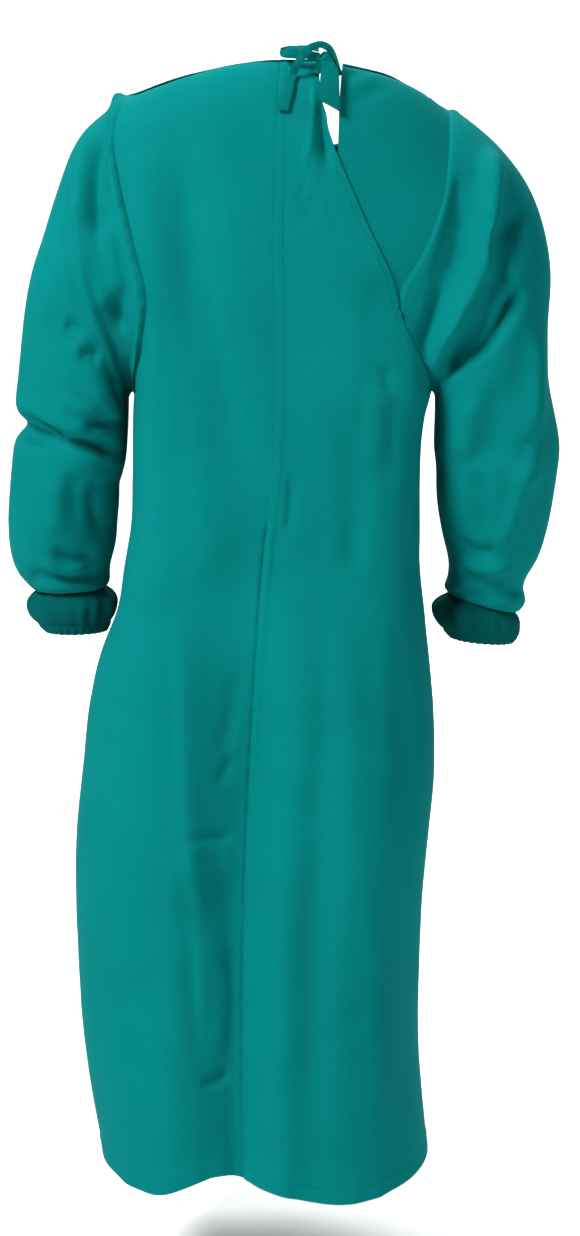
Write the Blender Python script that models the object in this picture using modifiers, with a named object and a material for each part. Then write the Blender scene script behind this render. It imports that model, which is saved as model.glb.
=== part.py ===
"""Surgical gown, worn and hollow: a wrap-around gown whose back flap laps over the right back.

Metres, +Z up. The gown's back faces -Y, the wearer's right hand is at +X. The origin is the
middle of the back neck edge's height, between the shoulders, where the wearer carries it.

The cloth is a wall on two smooth forms. The body's form has a back half and a front half, each
read by how far across it runs (0 at the left seam, 1 at the right one) and by a row: a height
below the underarm, or a share of the way up to the neck and shoulders. A sleeve's form is read
by its turn (0 on top, 0.25 behind, 0.5 underneath) and by how far along the arm it is.
"""
import math
from collections import namedtuple
from functools import lru_cache

import bmesh
import bpy
import numpy as np

# Driving dimensions
WALL = 0.0012           # cloth
TAPE = 0.0010           # binding and ties
EDGE_TRIM = 0.0003      # what each flat seam's edge is drawn in
ANGLED_TRIM = 0.0007    # the same where two walls meet at an angle
ARMHOLE_GAP = 0.0010    # between sleeve and body
ARMPIT_GAP = 0.0016     # more of it underneath, where they fold towards each other
LAP = 0.0034            # the flap's stand-off from the panel under it
UNDERARM_LAP = 1.4      # this share more of it around the underarm, where the cloth turns sharply
UNDER_EDGE_CLEAR = 0.025    # the flap stands off fully this share of the back before that panel
FLAP_ARMHOLE_REACH = 0.988  # how near the flap comes to the armhole seam
UNDERARM = -0.356
HEM = -1.222
SHOULDER_POWER = 2.7    # squareness of the turn from the back to the shoulder top
BINDING_WIDTH = 0.009
BINDING_STAND = 0.0043  # from the middle of the cloth to the middle of the tape folded over it
BINDING_END = 0.0050    # what each end of a binding is drawn in
BINDING_TURN = 0.0012   # where the binding's flat sides end and its fold starts
TIE_LIFT = 0.0055       # how far a hanging tie stands off the cloth
KNOT_CENTRE = (0.0365, -0.0935, -0.0020)
KNOT_SIZE = (0.0060, 0.0045, 0.0055)
BACK, FRONT = -1, 1

TEAL = (0.0025, 0.262, 0.245)
TEAL_CUFF = (0.0020, 0.225, 0.212)
TEAL_TAPE = (0.0022, 0.235, 0.222)

# The body's sections from the underarm to the hem; left and right are the sides' x, and
# square is how square the section's corners are (2 is an ellipse)
Section = namedtuple("Section", "height left right back front square")
BODY = (
    Section(-0.356, -0.169, 0.1500, 0.121, 0.123, 4.0),
    Section(-0.372, -0.1695, 0.1450, 0.121, 0.123, 3.9),
    Section(-0.395, -0.1705, 0.1415, 0.121, 0.123, 3.8),
    Section(-0.450, -0.172, 0.1400, 0.121, 0.122, 3.6),
    Section(-0.500, -0.174, 0.1405, 0.121, 0.121, 3.4),
    Section(-0.545, -0.182, 0.1405, 0.122, 0.120, 3.3),
    Section(-0.590, -0.190, 0.1460, 0.126, 0.120, 3.1),
    Section(-0.640, -0.209, 0.1520, 0.130, 0.120, 3.0),
    Section(-0.700, -0.223, 0.1570, 0.135, 0.122, 2.9),
    Section(-0.770, -0.231, 0.1590, 0.140, 0.126, 2.8),
    Section(-0.850, -0.239, 0.1530, 0.147, 0.131, 2.7),
    Section(-0.930, -0.2415, 0.1460, 0.153, 0.138, 2.6),
    Section(-1.000, -0.2395, 0.1440, 0.158, 0.143, 2.5),
    Section(-1.100, -0.2325, 0.1445, 0.164, 0.149, 2.5),
    Section(-1.222, -0.2150, 0.1550, 0.170, 0.154, 2.4),
)
# How far the hem stands above its level along the back, by x
HemPoint = namedtuple("HemPoint", "x lift")
BACK_HEM = (
    HemPoint(-0.220, 0.008),
    HemPoint(-0.150, -0.004),
    HemPoint(-0.085, 0.017),
    HemPoint(-0.030, 0.010),
    HemPoint(0.055, -0.007),
    HemPoint(0.115, -0.004),
    HemPoint(0.160, 0.004),
)
HEM_SWAY_TOP = -0.80    # above this height the hem's rise and fall has died away

# How the rows climb from the underarm: share of the height, and the armhole's share of depth
Climb = namedtuple("Climb", "row height depth")
CLIMB = (
    Climb(0.00, 0.00, 0.00),
    Climb(0.10, 0.06, 0.50),
    Climb(0.20, 0.16, 0.84),
    Climb(0.31, 0.31, 0.99),
    Climb(0.43, 0.48, 1.00),
    Climb(0.56, 0.67, 0.90),
    Climb(0.69, 0.82, 0.72),
    Climb(0.81, 0.92, 0.49),
    Climb(0.91, 0.98, 0.24),
    Climb(1.00, 1.00, 0.00),
)

# The armhole seams' x by height; the front seam runs further in over the chest
Armhole = namedtuple("Armhole", "height back front")
ARMHOLES = {
    "left": (
        Armhole(-0.356, -0.1690, -0.1690),
        Armhole(-0.336, -0.1675, -0.1675),
        Armhole(-0.302, -0.1560, -0.1570),
        Armhole(-0.250, -0.1490, -0.1450),
        Armhole(-0.190, -0.1630, -0.1500),
        Armhole(-0.130, -0.1780, -0.1630),
        Armhole(-0.075, -0.1860, -0.1760),
        Armhole(-0.036, -0.1770, -0.1770),
    ),
    "right": (
        Armhole(-0.356, 0.1520, 0.1520),
        Armhole(-0.336, 0.1495, 0.1500),
        Armhole(-0.298, 0.1330, 0.1390),
        Armhole(-0.244, 0.1185, 0.1260),
        Armhole(-0.200, 0.1410, 0.1330),
        Armhole(-0.150, 0.1600, 0.1480),
        Armhole(-0.095, 0.1680, 0.1620),
        Armhole(-0.052, 0.1710, 0.1710),
    ),
}
ARMHOLE_DEPTH = {BACK: 0.104, FRONT: 0.098}
ARMHOLE_REACH = 0.40    # share of a row that bends to meet its armhole

# The neck: corners on the shoulders, then the edge's dip and reach at back and front
NECK_LEFT = (-0.124, 0.004, -0.032)
NECK_RIGHT = (0.131, 0.004, -0.035)
NECK_REACH = {BACK: 0.078, FRONT: 0.088}
NECK_CENTRE_HEIGHT = {BACK: -0.004, FRONT: -0.092}
NECK_ROUND = {BACK: 1.25, FRONT: 1.3}

# Seams and free edges on the back, x by height
EdgePoint = namedtuple("EdgePoint", "height x")
CENTRE_SEAM = (
    EdgePoint(0.010, -0.011),
    EdgePoint(-0.060, -0.014),
    EdgePoint(-0.150, -0.016),
    EdgePoint(-0.450, -0.020),
    EdgePoint(-0.520, -0.028),
    EdgePoint(-0.640, -0.037),
    EdgePoint(-0.850, -0.048),
    EdgePoint(-1.222, -0.053),
)
FLAP_EDGE = (
    EdgePoint(0.010, 0.0300),
    EdgePoint(-0.040, 0.0285),
    EdgePoint(-0.072, 0.0270),
    EdgePoint(-0.086, 0.0310),
    EdgePoint(-0.097, 0.0480),
    EdgePoint(-0.135, 0.0640),
    EdgePoint(-0.172, 0.0805),
    EdgePoint(-0.212, 0.1005),
    EdgePoint(-0.256, 0.1180),
)
UNDER_EDGE = (
    EdgePoint(0.010, 0.0570),
    EdgePoint(-0.040, 0.0520),
    EdgePoint(-0.090, 0.0500),
    EdgePoint(-0.400, 0.0480),
    EdgePoint(-1.222, 0.0440),
)
# Below the armhole the flap's free edge runs round the side; 1 is the side seam, 2 the far one
Wrap = namedtuple("Wrap", "height reach")
FLAP_WRAP = (
    Wrap(-0.356, 0.99),
    Wrap(-0.390, 1.04),
    Wrap(-0.440, 1.09),
    Wrap(-0.500, 1.12),
    Wrap(-1.222, 1.13),
)

# The largest folds of the back, as valleys (minus) and ridges (plus) from one end to the other
Fold = namedtuple("Fold", "x0 z0 x1 z1 width depth")
BODY_FOLDS = (
    Fold(-0.122, -0.100, -0.044, -0.500, 0.050, -0.0060),
    Fold(-0.145, -0.120, -0.150, -0.560, 0.040, 0.0060),
    Fold(-0.150, -0.560, -0.175, -0.950, 0.050, 0.0060),
    Fold(-0.062, -0.560, -0.085, -0.900, 0.052, -0.0100),
    Fold(-0.085, -0.900, -0.085, -1.300, 0.060, -0.0220),
    Fold(-0.002, -0.580, -0.015, -1.300, 0.045, 0.0060),
    Fold(0.100, -0.250, 0.105, -0.420, 0.040, -0.0040),
    Fold(0.025, -0.800, 0.000, -1.300, 0.045, -0.0030),
    Fold(0.080, -0.750, 0.070, -1.300, 0.055, 0.0060),
)
FRONT_FOLDS = (
    Fold(-0.130, -0.450, -0.150, -1.300, 0.060, 0.0080),
    Fold(-0.060, -0.600, -0.070, -1.300, 0.060, -0.0080),
    Fold(-0.005, -0.700, -0.005, -1.300, 0.050, 0.0070),
)

# A sleeve's rings: outer end, inner end, and the depth's middle and half
Ring = namedtuple("Ring", "outer_x outer_z inner_x inner_z middle_y half_depth")
SLEEVES = {
    "left": (
        Ring(-0.177, -0.036, -0.169, -0.356, 0.000, 0.104),
        Ring(-0.198, -0.052, -0.174, -0.358, 0.000, 0.102),
        Ring(-0.2285, -0.081, -0.178, -0.364, -0.001, 0.098),
        Ring(-0.2485, -0.128, -0.1785, -0.376, -0.002, 0.093),
        Ring(-0.2665, -0.183, -0.1785, -0.390, -0.003, 0.088),
        Ring(-0.2835, -0.235, -0.179, -0.404, -0.004, 0.084),
        Ring(-0.292, -0.290, -0.180, -0.420, -0.004, 0.080),
        Ring(-0.2975, -0.340, -0.182, -0.434, -0.003, 0.077),
        Ring(-0.3005, -0.370, -0.184, -0.441, 0.000, 0.074),
        Ring(-0.2870, -0.389, -0.186, -0.448, 0.002, 0.070),
        Ring(-0.3030, -0.407, -0.189, -0.456, 0.004, 0.072),
        Ring(-0.3080, -0.445, -0.190, -0.474, 0.008, 0.070),
        Ring(-0.3130, -0.490, -0.1925, -0.500, 0.017, 0.066),
        Ring(-0.3135, -0.528, -0.196, -0.528, 0.026, 0.060),
        Ring(-0.3070, -0.556, -0.203, -0.553, 0.034, 0.054),
        Ring(-0.2945, -0.573, -0.203, -0.568, 0.038, 0.051),
        Ring(-0.286, -0.581, -0.208, -0.577, 0.042, 0.043),
        Ring(-0.278, -0.576, -0.213, -0.573, 0.043, 0.036),
    ),
    "right": (
        Ring(0.171, -0.052, 0.152, -0.356, 0.000, 0.104),
        Ring(0.192, -0.061, 0.157, -0.357, 0.000, 0.102),
        Ring(0.227, -0.092, 0.1600, -0.362, -0.001, 0.098),
        Ring(0.2555, -0.128, 0.1600, -0.372, -0.002, 0.093),
        Ring(0.2740, -0.172, 0.1595, -0.385, -0.003, 0.088),
        Ring(0.2835, -0.225, 0.159, -0.399, -0.004, 0.084),
        Ring(0.281, -0.280, 0.159, -0.415, -0.004, 0.080),
        Ring(0.282, -0.335, 0.161, -0.430, -0.002, 0.076),
        Ring(0.290, -0.375, 0.162, -0.445, 0.002, 0.073),
        Ring(0.2975, -0.415, 0.162, -0.460, 0.005, 0.071),
        Ring(0.294, -0.455, 0.164, -0.482, 0.010, 0.067),
        Ring(0.288, -0.500, 0.170, -0.512, 0.018, 0.062),
        Ring(0.278, -0.540, 0.178, -0.545, 0.026, 0.057),
        Ring(0.2615, -0.572, 0.1775, -0.566, 0.033, 0.052),
        Ring(0.2655, -0.592, 0.174, -0.576, 0.036, 0.050),
        Ring(0.258, -0.604, 0.179, -0.583, 0.037, 0.044),
        Ring(0.250, -0.600, 0.185, -0.580, 0.038, 0.037),
    ),
}
CUFFS = {
    "left": (
        Ring(-0.278, -0.580, -0.213, -0.577, 0.043, 0.036),
        Ring(-0.288, -0.586, -0.202, -0.583, 0.043, 0.044),
        Ring(-0.294, -0.596, -0.1965, -0.592, 0.043, 0.047),
        Ring(-0.293, -0.607, -0.1975, -0.604, 0.043, 0.046),
        Ring(-0.286, -0.618, -0.202, -0.616, 0.043, 0.041),
        Ring(-0.276, -0.628, -0.207, -0.627, 0.043, 0.035),
    ),
    "right": (
        Ring(0.250, -0.604, 0.185, -0.585, 0.038, 0.037),
        Ring(0.2575, -0.611, 0.168, -0.590, 0.038, 0.043),
        Ring(0.2595, -0.616, 0.161, -0.598, 0.038, 0.046),
        Ring(0.2595, -0.625, 0.163, -0.611, 0.038, 0.045),
        Ring(0.2580, -0.633, 0.172, -0.624, 0.038, 0.041),
        Ring(0.252, -0.640, 0.181, -0.634, 0.038, 0.035),
    ),
}
SLEEVE_FOLDS = {
    "left": (
        Fold(-0.203, -0.060, -0.208, -0.170, 0.022, -0.0060),
        Fold(-0.190, -0.270, -0.168, -0.370, 0.024, -0.0080),
        Fold(-0.225, -0.300, -0.185, -0.380, 0.018, 0.0050),
        Fold(-0.290, -0.392, -0.200, -0.412, 0.016, -0.0090),
        Fold(-0.290, -0.370, -0.230, -0.390, 0.018, 0.0050),
        Fold(-0.280, -0.560, -0.200, -0.562, 0.014, -0.0040),
    ),
    "right": (
        Fold(0.215, -0.110, 0.205, -0.215, 0.020, 0.0070),
        Fold(0.205, -0.215, 0.150, -0.320, 0.020, 0.0080),
        Fold(0.178, -0.140, 0.152, -0.300, 0.022, -0.0070),
        Fold(0.240, -0.170, 0.185, -0.290, 0.022, -0.0060),
        Fold(0.235, -0.245, 0.175, -0.320, 0.016, -0.0100),
        Fold(0.265, -0.300, 0.255, -0.440, 0.024, 0.0050),
        Fold(0.245, -0.575, 0.180, -0.585, 0.014, -0.0040),
    ),
}

# Grid counts
SIDE_COLUMNS = 5        # from a side or armhole seam to the shoulder seam's inner end
UNDER_SIDE_COLUMNS = 8  # the same on the right back, which follows the flap over it closely
BACK_LEFT_COLUMNS = 6
FLAP_COLUMNS = 22
UNDER_COLUMNS = 3
FRONT_COLUMNS = 8
ROWS_BELOW = 12
ROW_CROWDING = 1.2      # above 1 the rows crowd towards the underarm
SLEEVE_ROWS = 16
CUFF_TURNS = 16
CUFF_ROWS = 4
FINE = 361              # points that a curve is read from


def glide(places, values, at):
    """Smooth curve through values given at rising places, held level beyond its ends."""
    places = np.asarray(places, float)
    values = np.asarray(values, float)
    at = np.clip(np.asarray(at, float), places[0], places[-1])
    slopes = np.gradient(values, places)
    index = np.clip(np.searchsorted(places, at, side="right") - 1, 0, len(places) - 2)
    step = places[index + 1] - places[index]
    t = (at - places[index]) / step
    rise = values[index + 1] - values[index]
    bend = t * (1 - t)
    return (values[index] + t * rise
            + bend * (1 - t) * (slopes[index] * step - rise)
            - bend * t * (slopes[index + 1] * step - rise))


def read(table, key, column, at):
    """A column of a table at the given values of its key column, smoothly between its rows."""
    rows = sorted(table, key=lambda row: getattr(row, key))
    places = [getattr(row, key) for row in rows]
    values = [getattr(row, column) for row in rows]
    return glide(places, values, at)


def by_length(curve, share):
    """Points of a dense polyline at shares of its length."""
    steps = np.linalg.norm(np.diff(curve, axis=0), axis=1)
    length = np.concatenate(([0.0], np.cumsum(steps)))
    return np.stack([np.interp(share, length / length[-1], curve[:, k]) for k in range(3)], -1)


@lru_cache(None)
def section(side, height):
    """The body's cloth below the underarm at one height, from the left seam to the right one."""
    left = read(BODY, "height", "left", height)
    right = read(BODY, "height", "right", height)
    depth = read(BODY, "height", "back" if side == BACK else "front", height)
    power = 2.0 / read(BODY, "height", "square", height)
    turn = np.linspace(0.0, math.pi, FINE)
    x = (left + right) / 2 - (right - left) / 2 * np.sign(np.cos(turn)) * np.abs(np.cos(turn)) ** power
    y = side * depth * np.abs(np.sin(turn)) ** power
    z = np.full(FINE, float(height))
    if side == BACK:
        sway = np.clip((HEM_SWAY_TOP - height) / (HEM_SWAY_TOP - HEM), 0.0, 1.0)
        z += sway ** 2 * read(BACK_HEM, "x", "lift", x)
    return by_length(np.stack([x, y, z], -1), np.linspace(0.0, 1.0, FINE))


def top_line(side, across):
    """The edge where the back or front ends: left shoulder seam, neck edge, right shoulder seam."""
    turn = np.linspace(0.0, math.pi, FINE)
    left, right = np.array(NECK_LEFT), np.array(NECK_RIGHT)
    share = (1 - np.cos(turn)) / 2
    neck = left + share[:, None] * (right - left)
    neck[:, 1] += side * NECK_REACH[side] * np.sin(turn)
    lift = NECK_CENTRE_HEIGHT[side] - (left[2] + right[2]) / 2
    neck[:, 2] += lift * np.sin(turn) ** NECK_ROUND[side]
    shoulders = [armhole_point(arm, side, 1.0)[None, :] for arm in ("left", "right")]
    return by_length(np.concatenate([shoulders[0], neck, shoulders[1]]), across)


def neck_corner(side, arm):
    """How far across the top line the shoulder seam ends and the neck edge starts."""
    shares = np.linspace(0.0, 1.0, 2001)
    corner = np.array(NECK_LEFT if arm == "left" else NECK_RIGHT)
    away = np.linalg.norm(top_line(side, shares) - corner, axis=1)
    return float(shares[np.argmin(away)])


def armhole_point(arm, side, row):
    """A point of the armhole seam; row is 0 at the underarm and 1 at the shoulder."""
    table = ARMHOLES[arm]
    height_share = float(read(CLIMB, "row", "height", row))
    depth_share = max(float(read(CLIMB, "row", "depth", row)), 0.0)
    bottom, top = table[0].height, table[-1].height
    height = bottom + height_share * (top - bottom)
    x = float(read(table, "height", "back" if side == BACK else "front", height))
    return np.array([x, side * depth_share * ARMHOLE_DEPTH[side], height])


@lru_cache(None)
def row_curve(side, row):
    """A dense row of the body's form before its folds. A row above 0 climbs from the underarm to
    1 at the top; below 0 it is the drop under the underarm, in metres."""
    if row <= 0.0:
        return section(side, UNDERARM + row)
    shares = np.linspace(0.0, 1.0, FINE)
    climbed = float(np.clip(read(CLIMB, "row", "height", row), 0.0, 1.0))
    bottom, top = section(side, UNDERARM), top_line(side, shares)
    turned = (1 - climbed ** SHOULDER_POWER) ** (1 / SHOULDER_POWER)
    curve = bottom + climbed * (top - bottom)
    curve[:, 1] = top[:, 1] + turned * (bottom[:, 1] - top[:, 1])
    seams = [armhole_point(arm, side, row) for arm in ("left", "right")]
    middle = FINE // 2
    start = np.interp(abs(seams[0][1]), np.abs(curve[:middle, 1]), shares[:middle])
    end = np.interp(abs(seams[1][1]), np.abs(curve[:middle:-1, 1]), shares[:middle:-1])
    cut = np.stack([np.interp(start + shares * (end - start), shares, curve[:, k])
                    for k in range(3)], -1)
    for nearness, seam, tip in ((shares, seams[0], cut[0]), (1 - shares, seams[1], cut[-1])):
        pull = np.clip(1 - nearness / ARMHOLE_REACH, 0.0, 1.0) ** 2
        cut = cut + pull[:, None] * (seam - tip)
    return cut


def plain_body(side, across, row):
    """Points of the body's form on a row, before its folds."""
    curve = row_curve(side, round(float(row), 6))
    shares = np.linspace(0.0, 1.0, FINE)
    return np.stack([np.interp(across, shares, curve[:, k]) for k in range(3)], -1)


def fold_push(folds, x, z):
    """How far the folds move the cloth out at x and z."""
    push = np.zeros_like(x)
    for fold in folds:
        run = np.array([fold.x1 - fold.x0, fold.z1 - fold.z0])
        length = np.hypot(*run)
        along = ((x - fold.x0) * run[0] + (z - fold.z0) * run[1]) / length ** 2
        aside = ((x - fold.x0) * run[1] - (z - fold.z0) * run[0]) / length
        beyond = np.clip(np.maximum(-along, along - 1) * length, 0.0, None)
        distance = np.hypot(aside, beyond) / fold.width
        push += fold.depth * np.clip(1 - distance ** 2, 0.0, None) ** 2
    return push


def body(side, across, row, lift=0.0):
    """Points of the body's cloth on one row, with its folds, moved out by lift."""
    across = np.asarray(across, float)
    small = 0.004
    here = plain_body(side, across, row)
    beside = plain_body(side, np.minimum(across + small, 1.0), row)
    before = plain_body(side, np.maximum(across - small, 0.0), row)
    above = plain_body(side, across, min(row + small, 1.0))
    below = plain_body(side, across, row - small)
    normal = side * np.cross(above - below, beside - before)
    normal /= np.linalg.norm(normal, axis=1)[:, None]
    folds = BODY_FOLDS if side == BACK else FRONT_FOLDS
    facing = np.clip(side * normal[:, 1] * 1.6 - 0.3, 0.0, 1.0)
    push = fold_push(folds, here[:, 0], here[:, 2]) * facing
    return here + normal * (push + lift)[:, None]


def find_edge(edge, row, fallback=1.0):
    """How far across the back a row crosses an edge given as x by height."""
    across = np.linspace(0.0, 1.0, 1001)
    points = plain_body(BACK, across, row)
    if points[:, 2].max() < min(point.height for point in edge) - 0.001:
        return fallback
    beyond = points[:, 0] - read(edge, "height", "x", points[:, 2])
    crossing = np.flatnonzero((beyond[:-1] < 0) & (beyond[1:] >= 0))
    return float(across[crossing[0]]) if len(crossing) else fallback


def stations(start, stop, count):
    """Places across, or on round the side up to 2, that crowd where the body's sides turn."""
    fine = np.linspace(start, stop, 201)
    crowd = np.ones_like(fine)
    for corner in (0.20, 0.80, 1.20, 1.80):
        crowd += 2.2 * np.exp(-((fine - corner) / 0.10) ** 2)
    total = np.concatenate(([0.0], np.cumsum((crowd[1:] + crowd[:-1]) / 2)))
    return np.interp(np.linspace(0.0, total[-1], count + 1), total, fine)


def rows_down():
    """The rows from the neck and shoulders to the hem."""
    climb = [point.row for point in reversed(CLIMB)]
    drop = (HEM - UNDERARM) * np.linspace(0.0, 1.0, ROWS_BELOW + 1)[1:] ** ROW_CROWDING
    return climb + [float(value) for value in drop]


def trim(grid, left=0.0, right=0.0, top=0.0, bottom=0.0):
    """Draws a grid's edges in, so that a gap is left at its seams."""
    for edge, inner, gap in ((0, 1, left), (-1, -2, right)):
        step = grid[:, inner] - grid[:, edge]
        grid[:, edge] += gap * step / np.linalg.norm(step, axis=1)[:, None]
    for edge, inner, gap in ((0, 1, top), (-1, -2, bottom)):
        step = grid[inner] - grid[edge]
        grid[edge] += gap * step / np.linalg.norm(step, axis=1)[:, None]
    return grid


def material(name, colour, roughness):
    """A plain cloth finish."""
    finish = bpy.data.materials.new(name)
    finish.use_nodes = True
    shader = finish.node_tree.nodes["Principled BSDF"]
    shader.inputs["Base Color"].default_value = (*colour, 1.0)
    shader.inputs["Roughness"].default_value = roughness
    shader.inputs["Metallic"].default_value = 0.0
    finish.diffuse_color = (*colour, 1.0)
    return finish


def sheet(name, grid, finish, collection, wall=WALL, closed=False):
    """A wall of cloth through a grid of points; a closed one joins its last column to its first."""
    rows, columns = grid.shape[:2]
    shape = bmesh.new()
    bmesh.ops.create_grid(shape, x_segments=columns - 1, y_segments=rows - 1, size=0.5)
    for vertex in shape.verts:
        column = round((vertex.co.x + 0.5) * (columns - 1))
        row = round((0.5 - vertex.co.y) * (rows - 1))
        vertex.co = grid[row, column]
    if closed:
        bmesh.ops.remove_doubles(shape, verts=shape.verts[:], dist=1e-6)
    mesh = bpy.data.meshes.new(name)
    shape.to_mesh(mesh)
    shape.free()
    mesh.materials.append(finish)
    mesh.shade_smooth()
    piece = bpy.data.objects.new(name, mesh)
    collection.objects.link(piece)
    solidify = piece.modifiers.new("Wall", "SOLIDIFY")
    solidify.thickness = wall
    solidify.offset = 0.0
    return piece


def back_left_grid():
    """The left back, from its armhole and side seam to the centre seam."""
    corner = neck_corner(BACK, "left")
    shoulder = stations(0.0, corner, SIDE_COLUMNS)[:-1]
    grid = []
    for row in rows_down():
        rest = stations(corner, find_edge(CENTRE_SEAM, row), BACK_LEFT_COLUMNS)
        grid.append(body(BACK, np.concatenate([shoulder, rest]), row))
    return trim(np.array(grid), left=ANGLED_TRIM, right=EDGE_TRIM, top=ANGLED_TRIM)


def flap_lift(place, row):
    """The flap is sewn flush at the centre seam and rises onto the panel under it."""
    seam = find_edge(CENTRE_SEAM, row)
    full = find_edge(UNDER_EDGE, row) - UNDER_EDGE_CLEAR
    share = np.clip((place - seam) / (full - seam), 0.0, 1.0)
    underarm = 1 + UNDERARM_LAP * math.exp(-(row / 0.08) ** 2)
    return LAP * underarm * share * share * (3 - 2 * share)


def flap_reach(row):
    """How far round the flap's free edge lies; past 1 it is on the front."""
    if row > 0.0:
        return min(find_edge(FLAP_EDGE, row), FLAP_ARMHOLE_REACH)
    return float(read(FLAP_WRAP, "height", "reach", UNDERARM + row))


def round_body(place, row, lift):
    """A point of the body's cloth where place runs on from the back, past 1, to the front."""
    if place <= 1.0:
        return body(BACK, [place], row, lift)[0]
    return body(FRONT, [2.0 - place], row, lift)[0]


def flap_grid():
    """The overlap flap, from the centre seam to its free edge on the front."""
    grid = []
    for row in rows_down():
        places = stations(find_edge(CENTRE_SEAM, row), flap_reach(row), FLAP_COLUMNS)
        grid.append([round_body(place, row, flap_lift(place, row)) for place in places])
    return trim(np.array(grid), left=EDGE_TRIM, top=ANGLED_TRIM)


def back_right_grid():
    """The right back, which lies under the flap, from its free edge to armhole and side seam."""
    corner = neck_corner(BACK, "right")
    shoulder = stations(corner, 1.0, UNDER_SIDE_COLUMNS)[1:]
    grid = []
    for row in rows_down():
        rest = stations(find_edge(UNDER_EDGE, row), corner, UNDER_COLUMNS)
        grid.append(body(BACK, np.concatenate([rest, shoulder]), row))
    return trim(np.array(grid), right=ANGLED_TRIM, top=ANGLED_TRIM)


def front_grid():
    """The front, in one piece from side seam to side seam."""
    left, right = neck_corner(FRONT, "left"), neck_corner(FRONT, "right")
    across = np.concatenate([stations(0.0, left, SIDE_COLUMNS)[:-1],
                             stations(left, right, FRONT_COLUMNS),
                             stations(right, 1.0, SIDE_COLUMNS)[1:]])
    grid = np.array([body(FRONT, across, row) for row in rows_down()])
    return trim(grid, left=ANGLED_TRIM, right=ANGLED_TRIM, top=ANGLED_TRIM)


def ring_points(rings, turns, along):
    """Points of a tube given by rings, at turns round it and a share of the way along it."""
    places = np.linspace(0.0, 1.0, len(rings))
    value = {name: float(glide(places, [getattr(ring, name) for ring in rings], along))
             for name in Ring._fields}
    angle = 2 * math.pi * np.asarray(turns)
    middle = np.array([(value["outer_x"] + value["inner_x"]) / 2, value["middle_y"],
                       (value["outer_z"] + value["inner_z"]) / 2])
    outer = np.array([value["outer_x"], value["middle_y"], value["outer_z"]]) - middle
    deep = np.array([0.0, -value["half_depth"], 0.0])
    wide = np.sign(np.cos(angle)) * np.abs(np.cos(angle)) ** 0.94
    tall = np.sign(np.sin(angle)) * np.abs(np.sin(angle)) ** 0.94
    return middle + wide[:, None] * outer + tall[:, None] * deep


def armhole_turns():
    """The turns at which the body's rows end on the armhole: down the back, up the front."""
    down = [(1 - point.row) / 2 for point in reversed(CLIMB)]
    return np.array(down + [1 - turn for turn in reversed(down[:-1])])


def armhole_loop(arm):
    """The armhole seam as the sleeve sees it."""
    down = [armhole_point(arm, BACK, point.row) for point in reversed(CLIMB)]
    up = [armhole_point(arm, FRONT, point.row) for point in CLIMB[1:]]
    return np.array(down + up)


def sleeve_grid(arm):
    """A sleeve from its armhole to the roll over the cuff."""
    rings, turns = SLEEVES[arm], armhole_turns()
    pull = armhole_loop(arm) - ring_points(rings, turns, 0.0)
    plain = []
    for along in np.linspace(0.0, 1.0, SLEEVE_ROWS + 1):
        fade = max(0.0, 1 - along / 0.35) ** 2
        plain.append(ring_points(rings, turns, along) + fade * pull)
    grid = np.array(plain)
    around = np.roll(grid[:, :-1], -1, axis=1) - np.roll(grid[:, :-1], 1, axis=1)
    around = np.concatenate([around, around[:, :1]], axis=1)
    down = np.gradient(grid, axis=0)
    normal = np.cross(around, down) if arm == "left" else np.cross(down, around)
    normal /= np.linalg.norm(normal, axis=2)[:, :, None]
    facing = np.clip(-normal[:, :, 1] * 1.6 - 0.1, 0.0, 1.0)
    settle = np.clip(np.linspace(0.0, 6.0, SLEEVE_ROWS + 1), 0.0, 1.0)[:, None]
    push = fold_push(SLEEVE_FOLDS[arm], grid[:, :, 0], grid[:, :, 2]) * facing * settle
    grid += normal * push[:, :, None]
    away = np.array([-1.0 if arm == "left" else 1.0, 0.0, 0.0])
    armpit = np.exp(-((turns - 0.5) / 0.09) ** 2)
    grid[0] += away * (armpit * ARMPIT_GAP)[:, None]
    return trim(grid, top=ARMHOLE_GAP)


def cuff_grid(arm):
    """A gathered cuff, bulging below the sleeve's roll and drawn in at the wrist."""
    turns = np.linspace(0.0, 1.0, CUFF_TURNS + 1)
    return np.array([ring_points(CUFFS[arm], turns, along)
                     for along in np.linspace(0.0, 1.0, CUFF_ROWS + 1)])


def binding_grid(side, panel):
    """A strip folded over a panel's top edge: up the outside, over the top and down the inside.
    It is made from the panel's own two top rows of points."""
    edge, below = panel
    slope = (edge - below) / np.linalg.norm(edge - below, axis=1)[:, None]
    out = side * np.cross(slope, np.gradient(edge, axis=0))
    out /= np.linalg.norm(out, axis=1)[:, None]
    out *= BINDING_STAND
    low, high = edge - slope * BINDING_WIDTH, edge - slope * BINDING_TURN
    strip = np.array([low + out, high + out, edge + slope * BINDING_STAND, high - out, low - out])
    return trim(strip, left=BINDING_END, right=BINDING_END)


def on_back(x, z, lift):
    """The point of the back's cloth seen at x and z, moved out by lift."""
    low, high = 0.3, 1.0
    shares = np.linspace(0.0, 1.0, FINE)
    for _ in range(14):
        row = (low + high) / 2
        curve = row_curve(BACK, round(row, 6))
        place = float(np.interp(x, curve[:, 0], shares))
        if np.interp(x, curve[:, 0], curve[:, 2]) < z:
            low = row
        else:
            high = row
    return body(BACK, [place], row, lift + float(flap_lift(place, row)))[0]


def tape_grid(route, steps=3):
    """A flat tape along a smooth route of (place, half width as a vector) pairs."""
    stops = np.arange(len(route))
    fine = np.linspace(0, len(route) - 1, steps * (len(route) - 1) + 1)
    middle, aside = [np.stack([glide(stops, [stop[part][k] for stop in route], fine)
                               for k in range(3)], -1) for part in (0, 1)]
    return np.array([middle - aside, middle + aside])


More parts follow.
